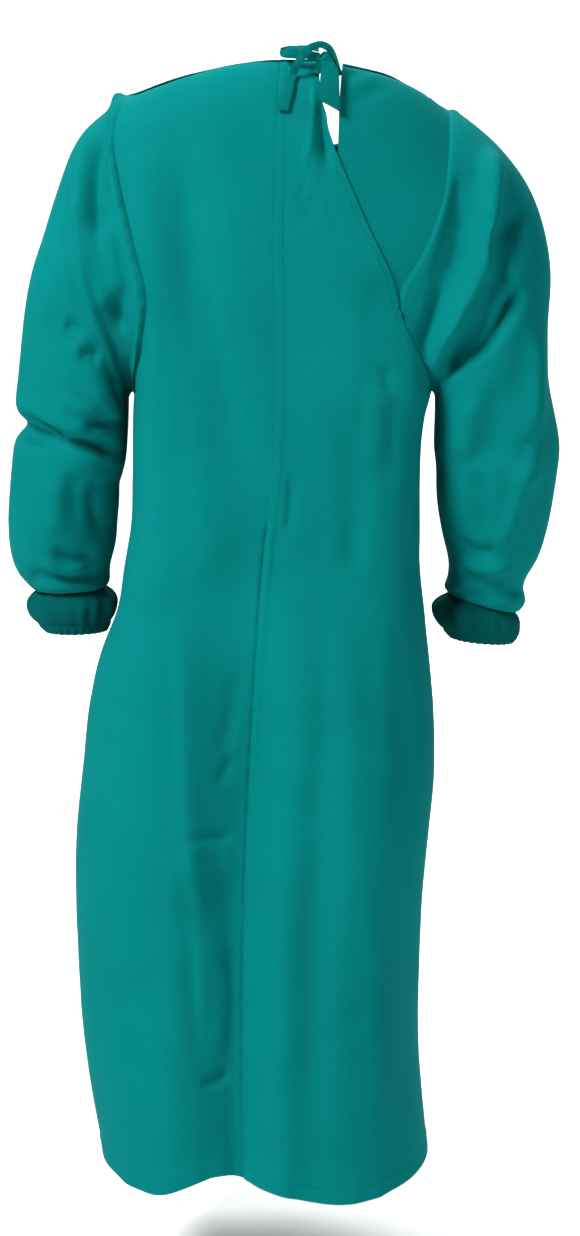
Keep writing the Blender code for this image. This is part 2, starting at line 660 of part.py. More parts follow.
def under_tie():
    """The right back's tie: up from its corner, over the knot, and down on the left back."""
    hang = [(0.0060, -0.021), (0.0025, -0.038), (-0.0045, -0.0560)]
    return tape_grid([
        ((0.0530, -0.0915, -0.0190), (0.0015, -0.0040, 0.0005)),
        ((0.0495, -0.0935, -0.0090), (0.0015, -0.0040, 0.0008)),
        ((0.0450, -0.0965, 0.0020), (0.0020, -0.0032, 0.0018)),
        ((0.0390, -0.1015, 0.0085), (0.0012, -0.0015, 0.0035)),
        ((0.0310, -0.1040, 0.0105), (0.0000, -0.0008, 0.0042)),
        ((0.0220, -0.1060, 0.0080), (-0.0022, -0.0004, 0.0038)),
        ((0.0140, -0.1075, 0.0010), (-0.0038, -0.0004, 0.0024)),
        ((0.0095, -0.1080, -0.0080), (-0.0045, 0.0000, 0.0010)),
    ] + [(on_back(x, z, TIE_LIFT), (-0.0050, 0.0000, 0.0008)) for x, z in hang])


def flap_tie():
    """The flap's tie, from the flap's corner up to the knot."""
    return tape_grid([
        (on_back(0.0225, -0.0170, TIE_LIFT), (0.0042, 0.0000, -0.0012)),
        ((0.0265, -0.0955, -0.0120), (0.0040, 0.0000, -0.0018)),
        ((0.0290, -0.0970, -0.0085), (0.0036, 0.0000, -0.0022)),
    ])


def bow_loop():
    """The bow's one loop, out to the left in front and back behind."""
    route = [(0.0292, -0.0985, -0.0012), (0.0180, -0.1005, -0.0008), (0.0040, -0.1005, -0.0003),
             (-0.0055, -0.0975, 0.0008), (-0.0085, -0.0925, 0.0030), (-0.0045, -0.0880, 0.0055),
             (0.0060, -0.0865, 0.0070), (0.0180, -0.0870, 0.0072), (0.0285, -0.0890, 0.0062)]
    return tape_grid([(place, (0.0, 0.0004, 0.0042)) for place in route], steps=2)


def right_end():
    """The free end that hangs from the knot over the keyhole."""
    return tape_grid([
        ((0.0390, -0.0990, -0.0095), (0.0058, 0.0000, 0.0010)),
        (on_back(0.0425, -0.0240, TIE_LIFT + LAP), (0.0058, 0.0000, 0.0004)),
        (on_back(0.0425, -0.0400, TIE_LIFT + LAP), (0.0062, 0.0000, -0.0004)),
        (on_back(0.0412, -0.0565, TIE_LIFT + LAP), (0.0078, 0.0000, -0.0035)),
    ])


def knot(finish, collection):
    """The bow's knot, a small flattened lump of wrapped tape."""
    shape = bmesh.new()
    bmesh.ops.create_uvsphere(shape, u_segments=12, v_segments=8, radius=1.0)
    for vertex in shape.verts:
        vertex.co.x = KNOT_CENTRE[0] + KNOT_SIZE[0] * vertex.co.x
        vertex.co.y = KNOT_CENTRE[1] + KNOT_SIZE[1] * vertex.co.y
        vertex.co.z = KNOT_CENTRE[2] + KNOT_SIZE[2] * vertex.co.z
    mesh = bpy.data.meshes.new("tie_knot")
    shape.to_mesh(mesh)
    shape.free()
    mesh.materials.append(finish)
    mesh.shade_smooth()
    collection.objects.link(bpy.data.objects.new("tie_knot", mesh))


def main():
    for thing in list(bpy.data.objects):
        bpy.data.objects.remove(thing, do_unlink=True)
    gown = bpy.data.collections.new("surgical_gown")
    bpy.context.scene.collection.children.link(gown)
    cloth = material("gown_cloth", TEAL, 0.85)
    cuff = material("cuff_cloth", TEAL_CUFF, 0.88)
    tape = material("tape_cloth", TEAL_TAPE, 0.8)
    front, left, right, flap = front_grid(), back_left_grid(), back_right_grid(), flap_grid()
    sheet("front_panel", front, cloth, gown)
    sheet("back_left_panel", left, cloth, gown)
    sheet("back_right_panel", right, cloth, gown)
    sheet("back_flap", flap, cloth, gown)
    for arm in ("left", "right"):
        sheet("sleeve_" + arm, sleeve_grid(arm), cloth, gown, closed=True)
        sheet("cuff_" + arm, cuff_grid(arm), cuff, gown, closed=True)
    neck_left = np.concatenate([left[:2, SIDE_COLUMNS:-1], flap[:2, ::FLAP_COLUMNS // 2]], axis=1)
    sheet("neck_binding_left", binding_grid(BACK, neck_left), tape, gown, wall=TAPE)
    neck_right = right[:2, :UNDER_COLUMNS + 1]
    sheet("neck_binding_right", binding_grid(BACK, neck_right), tape, gown, wall=TAPE)
    neck_front = front[:2, SIDE_COLUMNS:-SIDE_COLUMNS]
    sheet("neck_binding_front", binding_grid(FRONT, neck_front), tape, gown, wall=TAPE)
    sheet("tie_under", under_tie(), tape, gown, wall=TAPE)
    sheet("tie_flap", flap_tie(), tape, gown, wall=TAPE)
    sheet("tie_loop", bow_loop(), tape, gown, wall=TAPE)
    sheet("tie_end_right", right_end(), tape, gown, wall=TAPE)
    knot(tape, gown)


main()
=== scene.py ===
"""Looks of a worn, hollow surgical gown: cloth, seams, stitches, tapes and the light around them.

Metres, +Z up, the gown's back towards -Y and the wearer's right hand at +X. Every sheet of cloth
is a fine shell on the same smooth form as its solid, with its own creases laid on it.
"""

import logging
import math
from contextlib import contextmanager
from dataclasses import dataclass, field
from enum import Enum
from functools import partial
from typing import Any, Callable, Iterator, NamedTuple, Sequence

import bpy
import numpy as np
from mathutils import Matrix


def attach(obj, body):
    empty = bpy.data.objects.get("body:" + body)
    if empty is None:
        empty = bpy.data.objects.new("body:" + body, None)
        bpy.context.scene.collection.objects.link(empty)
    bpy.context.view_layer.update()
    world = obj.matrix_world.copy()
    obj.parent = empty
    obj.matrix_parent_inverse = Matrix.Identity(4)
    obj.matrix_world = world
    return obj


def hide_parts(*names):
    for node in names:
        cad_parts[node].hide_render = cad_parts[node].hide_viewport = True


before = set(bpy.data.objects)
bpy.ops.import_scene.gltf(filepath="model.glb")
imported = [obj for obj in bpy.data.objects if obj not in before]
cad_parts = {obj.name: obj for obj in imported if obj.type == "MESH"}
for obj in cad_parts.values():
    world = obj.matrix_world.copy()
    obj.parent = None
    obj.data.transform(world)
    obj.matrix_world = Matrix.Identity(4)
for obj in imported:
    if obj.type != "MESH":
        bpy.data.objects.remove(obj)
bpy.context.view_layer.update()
LOG = logging.getLogger("gown")

Route = Sequence[tuple[float, float]]


class Side(Enum):
    """Which half of the gown a point belongs to, with the way it faces along Y."""

    BACK = -1
    FRONT = 1


class Arm(Enum):
    """The gown's side that a sleeve is on, with the way it points along X."""

    LEFT = -1
    RIGHT = 1

    @property
    def word(self) -> str:
        """The arm's name as the solids spell it."""
        return self.name.lower()


class Profile(Enum):
    """How a crease is shaped across its width."""

    SOFT = "soft"
    SHARP = "sharp"


class Hold(Enum):
    HUNG = "hung"
    GATHERED = "gathered"
    FOLDED = "folded"


class Section(NamedTuple):
    """A level cut through the body: its height, sides, depths and squareness."""

    height: float
    left: float
    right: float
    back: float
    front: float
    square: float


class Level(NamedTuple):
    """A value that changes with a place along something."""

    place: float
    value: float


class Climb(NamedTuple):
    """How far a row has climbed, and the armhole's depth there, as shares."""

    row: float
    height: float
    depth: float


class Armhole(NamedTuple):
    """The armhole seam's x at a height, behind and in front."""

    height: float
    back: float
    front: float


class Ring(NamedTuple):
    """A cut through a sleeve or cuff: outer and inner end, middle and half depth."""

    outer_x: float
    outer_z: float
    inner_x: float
    inner_z: float
    middle_y: float
    half_depth: float


def glide(places: Sequence[float], values: Sequence[float], at: np.ndarray) -> np.ndarray:
    """Reads a smooth curve through values given at rising places.

    Args:
        places: rising places along the curve.
        values: the curve's value at each place.
        at: where to read it.

    Returns:
        The values there, held level beyond the curve's ends.
    """
    places = np.asarray(places, float)
    values = np.asarray(values, float)
    at = np.clip(np.asarray(at, float), places[0], places[-1])
    slopes = np.gradient(values, places)
    index = np.clip(np.searchsorted(places, at, side="right") - 1, 0, len(places) - 2)
    step = places[index + 1] - places[index]
    share = (at - places[index]) / step
    rise = values[index + 1] - values[index]
    bend = share * (1 - share)
    return (values[index] + share * rise
            + bend * (1 - share) * (slopes[index] * step - rise)
            - bend * share * (slopes[index + 1] * step - rise))


def read(table: Sequence[NamedTuple], key: str, column: str, at: np.ndarray) -> np.ndarray:
    """Reads one column of a table smoothly between its rows.

    Args:
        table: rows with named columns.
        key: the column that places the rows.
        column: the column to read.
        at: values of the key.

    Returns:
        The column's values there.
    """
    rows = sorted(table, key=lambda row: getattr(row, key))
    return glide([getattr(row, key) for row in rows], [getattr(row, column) for row in rows], at)


def smooth_step(value: np.ndarray) -> np.ndarray:
    """Eases a share from 0 to 1, level at both ends."""
    value = np.clip(value, 0.0, 1.0)
    return value * value * (3 - 2 * value)


def unit(vectors: np.ndarray) -> np.ndarray:
    """Scales vectors on the last axis to length 1."""
    return vectors / np.maximum(np.linalg.norm(vectors, axis=-1, keepdims=True), 1e-12)


def run_length(line: np.ndarray) -> np.ndarray:
    """Distance along a line of points from its start."""
    steps = np.linalg.norm(np.diff(line, axis=0), axis=-1)
    return np.concatenate(([0.0], np.cumsum(steps)))


def run_across(grid: np.ndarray) -> np.ndarray:
    """Distance along each row of a grid from its first column."""
    steps = np.linalg.norm(np.diff(grid, axis=1), axis=2)
    return np.concatenate([np.zeros((len(grid), 1)), np.cumsum(steps, axis=1)], axis=1)


def run_up(grid: np.ndarray) -> np.ndarray:
    """Distance up each column of a grid from its last row."""
    return run_across(grid[::-1].transpose(1, 0, 2)).T[::-1]


def crowded(count: int, at_start: float, at_end: float) -> np.ndarray:
    """Shares from 0 to 1 that stand closer together towards one end or both.

    Args:
        count: how many spaces there are.
        at_start: 0 for even spaces at the start, up to 1 for very narrow ones.
        at_end: the same for the end.

    Returns:
        The shares.
    """
    share = np.linspace(0.0, 1.0, 400)
    gap = (1 - at_start * np.exp(-(share / 0.12) ** 2)) * (1 - at_end * np.exp(
        -((1 - share) / 0.12) ** 2))
    place = np.concatenate(([0.0], np.cumsum(1 / gap)))[:-1]
    return np.interp(np.linspace(0.0, place[-1], count + 1), place, share)


def follow(at: float | np.ndarray, places: np.ndarray, points: np.ndarray) -> np.ndarray:
    """Reads a line of points, each at its own place, at other places.

    Args:
        at: the places wanted.
        places: the place of each point, in rising order.
        points: the points.

    Returns:
        The point at each place wanted.
    """
    return np.stack([np.interp(at, places, points[:, k]) for k in range(3)], -1)


def by_share(curve: np.ndarray, share: np.ndarray) -> np.ndarray:
    """Points of a dense line at shares of its length."""
    length = run_length(curve)
    return follow(share, length / length[-1], curve)


def uneven(at: np.ndarray, pitch: float, seed: float) -> np.ndarray:
    """An irregular wave between about -1 and 1.

    Args:
        at: distance along the wave in metres.
        pitch: its usual spacing in metres.
        seed: a number that makes each wave its own.

    Returns:
        The wave's height.
    """
    turn = 2 * math.pi * at / pitch
    wave = np.sin(turn + seed + 0.9 * np.sin(turn * 0.37 + 2.1 * seed))
    return 0.62 * wave + 0.38 * np.sin(turn * 0.61 + 5.3 * seed)


@dataclass(frozen=True)
class Crease:
    """A soft trough (negative depth) or ridge laid on cloth along a route of (x, z) points.

    Lean moves its steeper flank: above 0 the flank to the right of the route is steeper.
    """

    route: Route
    width: float
    depth: float
    profile: Profile = Profile.SOFT
    lean: float = 0.0
    start_fade: float = 0.3
    end_fade: float = 0.3
    crest: float = 1.245
    blunt: float = 0.06

    def line(self) -> np.ndarray:
        """Draws the route as a smooth line.

        Returns:
            Its (x, z) points.
        """
        stops = np.array(self.route)
        if len(stops) == 2:
            return stops
        places = np.concatenate(([0.0], np.cumsum(np.hypot(*np.diff(stops, axis=0).T))))
        fine = np.linspace(0.0, places[-1], 5 * len(stops))
        return np.stack([glide(places, stops[:, k], fine) for k in (0, 1)], -1)

    def push(self, x: np.ndarray, z: np.ndarray) -> np.ndarray:
        """Works out how far this crease moves the cloth out.

        Args:
            x: places across.
            z: heights.

        Returns:
            The push at each place.
        """
        line = self.line()
        total = np.hypot(*np.diff(line, axis=0).T).sum()
        nearest = np.full_like(x, np.inf)
        place, flank = np.zeros_like(x), np.zeros_like(x)
        done = 0.0
        for (x0, z0), (x1, z1) in zip(line[:-1], line[1:]):
            run = math.hypot(x1 - x0, z1 - z0)
            if run < 1e-9:
                continue
            share = np.clip(((x - x0) * (x1 - x0) + (z - z0) * (z1 - z0)) / run ** 2, 0, 1)
            off_x, off_z = x - x0 - share * (x1 - x0), z - z0 - share * (z1 - z0)
            distance = np.hypot(off_x, off_z)
            nearer = distance < nearest
            nearest = np.where(nearer, distance, nearest)
            place = np.where(nearer, (done + share * run) / total, place)
            side = np.sign(off_x * (z1 - z0) - off_z * (x1 - x0))
            flank = np.where(nearer, side, flank)
            done += run
        reach = nearest / (self.width * (1 - self.lean * flank))
        if self.profile is Profile.SOFT:
            shape = np.clip(1 - reach ** 2, 0, None) ** 2
        else:
            shape = np.clip(self.crest - np.sqrt(reach ** 2 + self.blunt), 0, None) ** 2
        ends = smooth_step(place / max(self.start_fade, 1e-6)) if self.start_fade else 1.0
        ends = ends * (smooth_step((1 - place) / self.end_fade) if self.end_fade else 1.0)
        return self.depth * shape * ends


def soft(width: float, depth: float, *route: tuple[float, float],
         profile: Profile = Profile.SOFT, lean: float = 0.0,
         fades: tuple[float, float] = (0.3, 0.3)) -> Crease:
    """Describes a crease with a round bottom, in millimetres.

    Args:
        width: how far it reaches to either side.
        depth: how far it lifts the cloth; below 0 it sinks it.
        route: the (x, z) points that it runs through.
        profile: its shape across.
        lean: which flank is steeper, as Crease has it.
        fades: the shares of its length over which it starts and ends.

    Returns:
        The crease, in metres.
    """
    return Crease(tuple((x / 1000, z / 1000) for x, z in route), width / 1000, depth / 1000,
                  profile, lean, *fades)


sharp = partial(soft, profile=Profile.SHARP)


def total_push(creases: Sequence[Crease], x: np.ndarray, z: np.ndarray) -> np.ndarray:
    """Adds up creases.

    Args:
        creases: the creases.
        x: where to read them.
        z: the height of each of those places.

    Returns:
        How far they push the cloth out at each place.
    """
    return np.sum([crease.push(x, z) for crease in creases], axis=0)


@dataclass
class BodyForm:
    """The smooth form that the gown's body hangs in, behind and in front."""

    underarm: float = -0.356
    hem: float = -1.222
    sway_top: float = -0.80
    shoulder_power: float = 2.7
    armhole_reach: float = 0.40
    fine: int = 361
    sections: tuple[Section, ...] = (
        Section(-0.356, -0.169, 0.1500, 0.121, 0.123, 4.0),
        Section(-0.372, -0.1695, 0.1450, 0.121, 0.123, 3.9),
        Section(-0.395, -0.1705, 0.1415, 0.121, 0.123, 3.8),
        Section(-0.450, -0.172, 0.1400, 0.121, 0.122, 3.6),
        Section(-0.500, -0.174, 0.1405, 0.121, 0.121, 3.4),
        Section(-0.545, -0.182, 0.1405, 0.122, 0.120, 3.3),
        Section(-0.590, -0.190, 0.1460, 0.126, 0.120, 3.1),
        Section(-0.640, -0.209, 0.1520, 0.130, 0.120, 3.0),
        Section(-0.700, -0.223, 0.1570, 0.135, 0.122, 2.9),
        Section(-0.770, -0.231, 0.1590, 0.140, 0.126, 2.8),
        Section(-0.850, -0.239, 0.1530, 0.147, 0.131, 2.7),
        Section(-0.930, -0.2415, 0.1460, 0.153, 0.138, 2.6),
        Section(-1.000, -0.2395, 0.1440, 0.158, 0.143, 2.5),
        Section(-1.100, -0.2325, 0.1445, 0.164, 0.149, 2.5),
        Section(-1.222, -0.2150, 0.1550, 0.170, 0.154, 2.4),
    )
    back_hem: tuple[Level, ...] = (
        Level(-0.220, 0.008), Level(-0.150, -0.004), Level(-0.085, 0.017), Level(-0.030, 0.010),
        Level(0.055, -0.007), Level(0.115, -0.004), Level(0.160, 0.004),
    )
    climb: tuple[Climb, ...] = (
        Climb(0.00, 0.00, 0.00), Climb(0.10, 0.06, 0.50), Climb(0.20, 0.16, 0.84),
        Climb(0.31, 0.31, 0.99), Climb(0.43, 0.48, 1.00), Climb(0.56, 0.67, 0.90),
        Climb(0.69, 0.82, 0.72), Climb(0.81, 0.92, 0.49), Climb(0.91, 0.98, 0.24),
        Climb(1.00, 1.00, 0.00),
    )
    armhole_left: tuple[Armhole, ...] = (
        Armhole(-0.356, -0.1690, -0.1690), Armhole(-0.336, -0.1675, -0.1675),
        Armhole(-0.302, -0.1560, -0.1570), Armhole(-0.250, -0.1490, -0.1450),
        Armhole(-0.190, -0.1630, -0.1500), Armhole(-0.130, -0.1780, -0.1630),
        Armhole(-0.075, -0.1860, -0.1760), Armhole(-0.036, -0.1770, -0.1770),
    )
    armhole_right: tuple[Armhole, ...] = (
        Armhole(-0.356, 0.1520, 0.1520), Armhole(-0.336, 0.1495, 0.1500),
        Armhole(-0.298, 0.1330, 0.1390), Armhole(-0.244, 0.1185, 0.1260),
        Armhole(-0.200, 0.1410, 0.1330), Armhole(-0.150, 0.1600, 0.1480),
        Armhole(-0.095, 0.1680, 0.1620), Armhole(-0.052, 0.1710, 0.1710),
    )
    armhole_depth_back: float = 0.104
    armhole_depth_front: float = 0.098
    neck_left: tuple[float, float, float] = (-0.124, 0.004, -0.032)
    neck_right: tuple[float, float, float] = (0.131, 0.004, -0.035)
    neck_reach_back: float = 0.078
    neck_reach_front: float = 0.088
    neck_height_back: float = -0.004
    neck_height_front: float = -0.092
    neck_round_back: float = 1.25
    neck_round_front: float = 1.3
    curves: dict[tuple[Side, float], np.ndarray] = field(default_factory=dict)

    def section(self, side: Side, height: float) -> np.ndarray:
        """Draws a level line of cloth below the underarm, from the left seam to the right one.

        Args:
            side: the side of the body.
            height: its height.

        Returns:
            Its points, evenly spaced.
        """
        left = read(self.sections, "height", "left", height)
        right = read(self.sections, "height", "right", height)
        depth = read(self.sections, "height", side.name.lower(), height)
        power = 2.0 / read(self.sections, "height", "square", height)
        turn = np.linspace(0.0, math.pi, self.fine)
        wide = np.sign(np.cos(turn)) * np.abs(np.cos(turn)) ** power
        x = (left + right) / 2 - (right - left) / 2 * wide
        y = side.value * depth * np.abs(np.sin(turn)) ** power
        z = np.full(self.fine, float(height))
        if side is Side.BACK:
            sway = np.clip((self.sway_top - height) / (self.sway_top - self.hem), 0.0, 1.0)
            z += sway ** 2 * read(self.back_hem, "place", "value", x)
        return by_share(np.stack([x, y, z], -1), np.linspace(0.0, 1.0, self.fine))

    def armhole(self, arm: Arm) -> tuple[Armhole, ...]:
        """The armhole table of one arm."""
        return self.armhole_left if arm is Arm.LEFT else self.armhole_right

    def armhole_point(self, arm: Arm, side: Side, row: float) -> np.ndarray:
        """Finds a point of the armhole seam.

        Args:
            arm: the arm.
            side: the side of the body.
            row: 0 at the underarm and 1 at the shoulder.

        Returns:
            The point.
        """
        table = self.armhole(arm)
        height_share = float(read(self.climb, "row", "height", row))
        depth_share = max(float(read(self.climb, "row", "depth", row)), 0.0)
        height = table[0].height + height_share * (table[-1].height - table[0].height)
        x = float(read(table, "height", side.name.lower(), height))
        deep = self.armhole_depth_back if side is Side.BACK else self.armhole_depth_front
        return np.array([x, side.value * depth_share * deep, height])

    def top_line(self, side: Side, across: np.ndarray) -> np.ndarray:
        """Draws the top edge: left shoulder seam, neck edge and right shoulder seam.

        Args:
            side: the side of the body.
            across: shares of the way across.

        Returns:
            A point for each share.
        """
        behind = side is Side.BACK
        reach = self.neck_reach_back if behind else self.neck_reach_front
        middle = self.neck_height_back if behind else self.neck_height_front
        power = self.neck_round_back if behind else self.neck_round_front
        turn = np.linspace(0.0, math.pi, self.fine)
        left, right = np.array(self.neck_left), np.array(self.neck_right)
        neck = left + ((1 - np.cos(turn)) / 2)[:, None] * (right - left)
        neck[:, 1] += side.value * reach * np.sin(turn)
        neck[:, 2] += (middle - (left[2] + right[2]) / 2) * np.sin(turn) ** power
        ends = [self.armhole_point(arm, side, 1.0)[None, :] for arm in (Arm.LEFT, Arm.RIGHT)]
        return by_share(np.concatenate([ends[0], neck, ends[1]]), across)

    def neck_corner(self, side: Side, arm: Arm) -> float:
        """Finds where the neck edge meets the shoulder seam.

        Args:
            side: the side of the body.
            arm: the arm.

        Returns:
            How far across the top line that is.
        """
        shares = np.linspace(0.0, 1.0, 2001)
        corner = np.array(self.neck_left if arm is Arm.LEFT else self.neck_right)
        away = np.linalg.norm(self.top_line(side, shares) - corner, axis=1)
        return float(shares[np.argmin(away)])

    def row_curve(self, side: Side, row: float) -> np.ndarray:
        """Gives a dense row of the form, worked out once.

        Args:
            side: the side of the body.
            row: above 0 it climbs to 1 at the top; below, it is a drop in metres.

        Returns:
            The points of the row.
        """
        key = (side, round(float(row), 6))
        if key not in self.curves:
            self.curves[key] = self.make_row(side, key[1])
        return self.curves[key]

    def make_row(self, side: Side, row: float) -> np.ndarray:
        """Works out one row of the form.

        Args:
            side: the side of the body.
            row: the row of the form.

        Returns:
            Its points.
        """
        if row <= 0.0:
            return self.section(side, self.underarm + row)
        shares = np.linspace(0.0, 1.0, self.fine)
        climbed = float(np.clip(read(self.climb, "row", "height", row), 0.0, 1.0))
        bottom, top = self.section(side, self.underarm), self.top_line(side, shares)
        turned = (1 - climbed ** self.shoulder_power) ** (1 / self.shoulder_power)
        curve = bottom + climbed * (top - bottom)
        curve[:, 1] = top[:, 1] + turned * (bottom[:, 1] - top[:, 1])
        seams = [self.armhole_point(arm, side, row) for arm in (Arm.LEFT, Arm.RIGHT)]
        middle = self.fine // 2
        start = np.interp(abs(seams[0][1]), np.abs(curve[:middle, 1]), shares[:middle])
        end = np.interp(abs(seams[1][1]), np.abs(curve[:middle:-1, 1]), shares[:middle:-1])
        cut = follow(start + shares * (end - start), shares, curve)
        for nearness, seam, tip in ((shares, seams[0], cut[0]), (1 - shares, seams[1], cut[-1])):
            pull = np.clip(1 - nearness / self.armhole_reach, 0.0, 1.0) ** 2
            cut = cut + pull[:, None] * (seam - tip)
        return cut

    def points(self, side: Side, across: np.ndarray, row: float) -> np.ndarray:
        """Points of the form on a row.

        Args:
            side: the side of the body.
            across: shares of the way across.
            row: the row of the form.

        Returns:
            A point for each share.
        """
        curve = self.row_curve(side, row)
        shares = np.linspace(0.0, 1.0, self.fine)
        return follow(across, shares, curve)

    def round_points(self, places: np.ndarray, row: float) -> np.ndarray:
        """Gives points of a row that runs on past 1, round the right side, to the front.

        Args:
            places: shares of the way across; past 1 they are on the front.
            row: the row of the form.

        Returns:
            A point for each place.
        """
        behind = self.points(Side.BACK, np.clip(places, 0.0, 1.0), row)
        ahead = self.points(Side.FRONT, np.clip(2.0 - places, 0.0, 1.0), row)
        return np.where((places <= 1.0)[:, None], behind, ahead)

    def rows(self, climbing: int, dropping: int) -> list[float]:
        """Rows from the top to the hem, evenly spaced over the cloth.

        Args:
            climbing: how many spaces there are above the underarm.
            dropping: how many there are below it.

        Returns:
            The rows, from 1 at the top.
        """
        trial = 1 - np.linspace(0.0, 1.0, 240) ** 2.5
        trail = np.array([self.points(Side.BACK, np.array([0.16, 0.45]), row).ravel()
                          for row in trial])
        length = run_length(trail)
        up = np.interp(np.linspace(0.0, length[-1], climbing + 1), length, trial)
        down = np.linspace(0.0, self.hem - self.underarm, dropping + 1)[1:]
        return [float(row) for row in np.concatenate([up, down])]


@dataclass(frozen=True)
class Seams:
    """The seams and free edges that divide the back, as x by height."""

    centre: tuple[Level, ...] = (
        Level(0.010, -0.011), Level(-0.060, -0.014), Level(-0.150, -0.016),
        Level(-0.450, -0.020), Level(-0.520, -0.028), Level(-0.640, -0.037),
        Level(-0.850, -0.048), Level(-1.222, -0.053),
    )
    flap: tuple[Level, ...] = (
        Level(0.010, 0.0300), Level(-0.022, 0.0305), Level(-0.045, 0.0335),
        Level(-0.066, 0.0375), Level(-0.083, 0.0425), Level(-0.100, 0.0492),
        Level(-0.135, 0.0640),
        Level(-0.172, 0.0805), Level(-0.212, 0.1005), Level(-0.256, 0.1180),
    )
    under: tuple[Level, ...] = (
        Level(0.010, 0.0570), Level(-0.040, 0.0520), Level(-0.090, 0.0500),
        Level(-0.400, 0.0480), Level(-1.222, 0.0440),
    )
    wrap: tuple[Level, ...] = (
        Level(-0.356, 0.99), Level(-0.390, 1.04), Level(-0.440, 1.09),
        Level(-0.500, 1.12), Level(-1.222, 1.13),
    )
    flap_reach: float = 0.997
    lap: float = 0.0022
    lap_clear: float = 0.025

    def cross(self, form: BodyForm, edge: tuple[Level, ...], row: float) -> float:
        """Finds where a row crosses an edge.

        Args:
            form: the body form.
            edge: the edge.
            row: the row of the form.

        Returns:
            How far across the back that is; 1 where they do not meet.
        """
        across = np.linspace(0.0, 1.0, 1001)
        points = form.points(Side.BACK, across, row)
        if points[:, 2].max() < min(level.place for level in edge) - 0.001:
            return 1.0
        beyond = points[:, 0] - read(edge, "place", "value", points[:, 2])
        crossing = np.flatnonzero((beyond[:-1] < 0) & (beyond[1:] >= 0))
        if not len(crossing):
            return 1.0
        low = crossing[0]
        share = beyond[low] / (beyond[low] - beyond[low + 1])
        return float(across[low] + share * (across[1] - across[0]))

    def flap_end(self, form: BodyForm, row: float) -> float:
        """Finds the flap's free edge on a row.

        Args:
            form: the body form.
            row: the row of the form.

        Returns:
            How far across it lies; past 1 it is on the front.
        """
        if row > 0.0:
            return min(self.cross(form, self.flap, row), self.flap_reach)
        return float(read(self.wrap, "place", "value", form.underarm + row))

    def flap_lift(self, form: BodyForm, places: np.ndarray, row: float) -> np.ndarray:
        """Lifts the flap, which is flush at the centre and rises onto the panel under it.

        Args:
            form: the body form.
            places: shares of the way across.
            row: the row of the form.

        Returns:
            The lift at each place.
        """
        seam = self.cross(form, self.centre, row)
        full = self.cross(form, self.under, row) - self.lap_clear
        return self.lap * smooth_step((places - seam) / (full - seam))


def settle(grid: np.ndarray, rounds: int, closed: bool = False) -> np.ndarray:
    """Evens out a grid of points, with its open edges kept where they are.

    Args:
        grid: rows by columns of points.
        rounds: how many times each point moves towards its neighbours.
        closed: whether the last column is the first one again.

    Returns:
        The evened grid.
    """
    grid = grid.copy()
    for _ in range(rounds):
        calm = grid.copy()
        calm[1:-1, 1:-1] = (grid[:-2, 1:-1] + grid[2:, 1:-1] + grid[1:-1, :-2]
                            + grid[1:-1, 2:]) / 4
        if closed:
            seam = (grid[:-2, 0] + grid[2:, 0] + grid[1:-1, -2] + grid[1:-1, 1]) / 4
            calm[1:-1, 0] = seam
            calm[1:-1, -1] = seam
        grid = 0.5 * grid + 0.5 * calm
    return grid


def grid_normals(grid: np.ndarray, outward: Callable[[np.ndarray], np.ndarray],
                 closed: bool = False) -> np.ndarray:
    """Normals of a grid, on the side that faces outward.

    Args:
        grid: rows by columns of points.
        outward: gives a rough outward direction for each point.
        closed: whether the last column is the first one again.

    Returns:
        A unit normal for each point.
    """
    down = np.gradient(grid, axis=0)
    if closed:
        around = np.roll(grid[:, :-1], -1, axis=1) - np.roll(grid[:, :-1], 1, axis=1)
        around = np.concatenate([around, around[:, :1]], axis=1)
    else:
        around = np.gradient(grid, axis=1)
    normal = unit(np.cross(around, down))
    if (normal * outward(grid)).sum(axis=-1).mean() < 0:
        normal = -normal
    return normal


@dataclass(frozen=True)
class NodeBoard:
    """A material's node tree, with short ways to add to it."""

    tree: bpy.types.NodeTree

    def fill(self, node: bpy.types.Node, inputs: dict[str | int, Any]) -> None:
        """Sets a node's inputs.

        Args:
            node: the node.
            inputs: for each input, a constant to set or another node's output to link.
        """
        for name, value in inputs.items():
            if isinstance(value, bpy.types.NodeSocket):
                self.tree.links.new(value, node.inputs[name])
            else:
                node.inputs[name].default_value = value

    def add(self, kind: str, output: str, inputs: dict[str | int, Any],
            **settings: str) -> bpy.types.NodeSocket:
        """Adds a node.

        Args:
            kind: its type, without the usual start of the name.
            output: the output that is wanted.
            inputs: its inputs, as fill takes them.
            **settings: its own settings.

        Returns:
            The output.
        """
        node = self.tree.nodes.new("ShaderNode" + kind)
        for name, value in settings.items():
            setattr(node, name, value)
        self.fill(node, inputs)
        return node.outputs[output]

    def noise(self, scale: float, detail: float = 2.0) -> bpy.types.NodeSocket:
        """A noise pattern that is fixed to the object."""
        place = self.add("TexCoord", "Object", {})
        return self.add("TexNoise", "Fac", {"Scale": scale, "Detail": detail, "Vector": place})


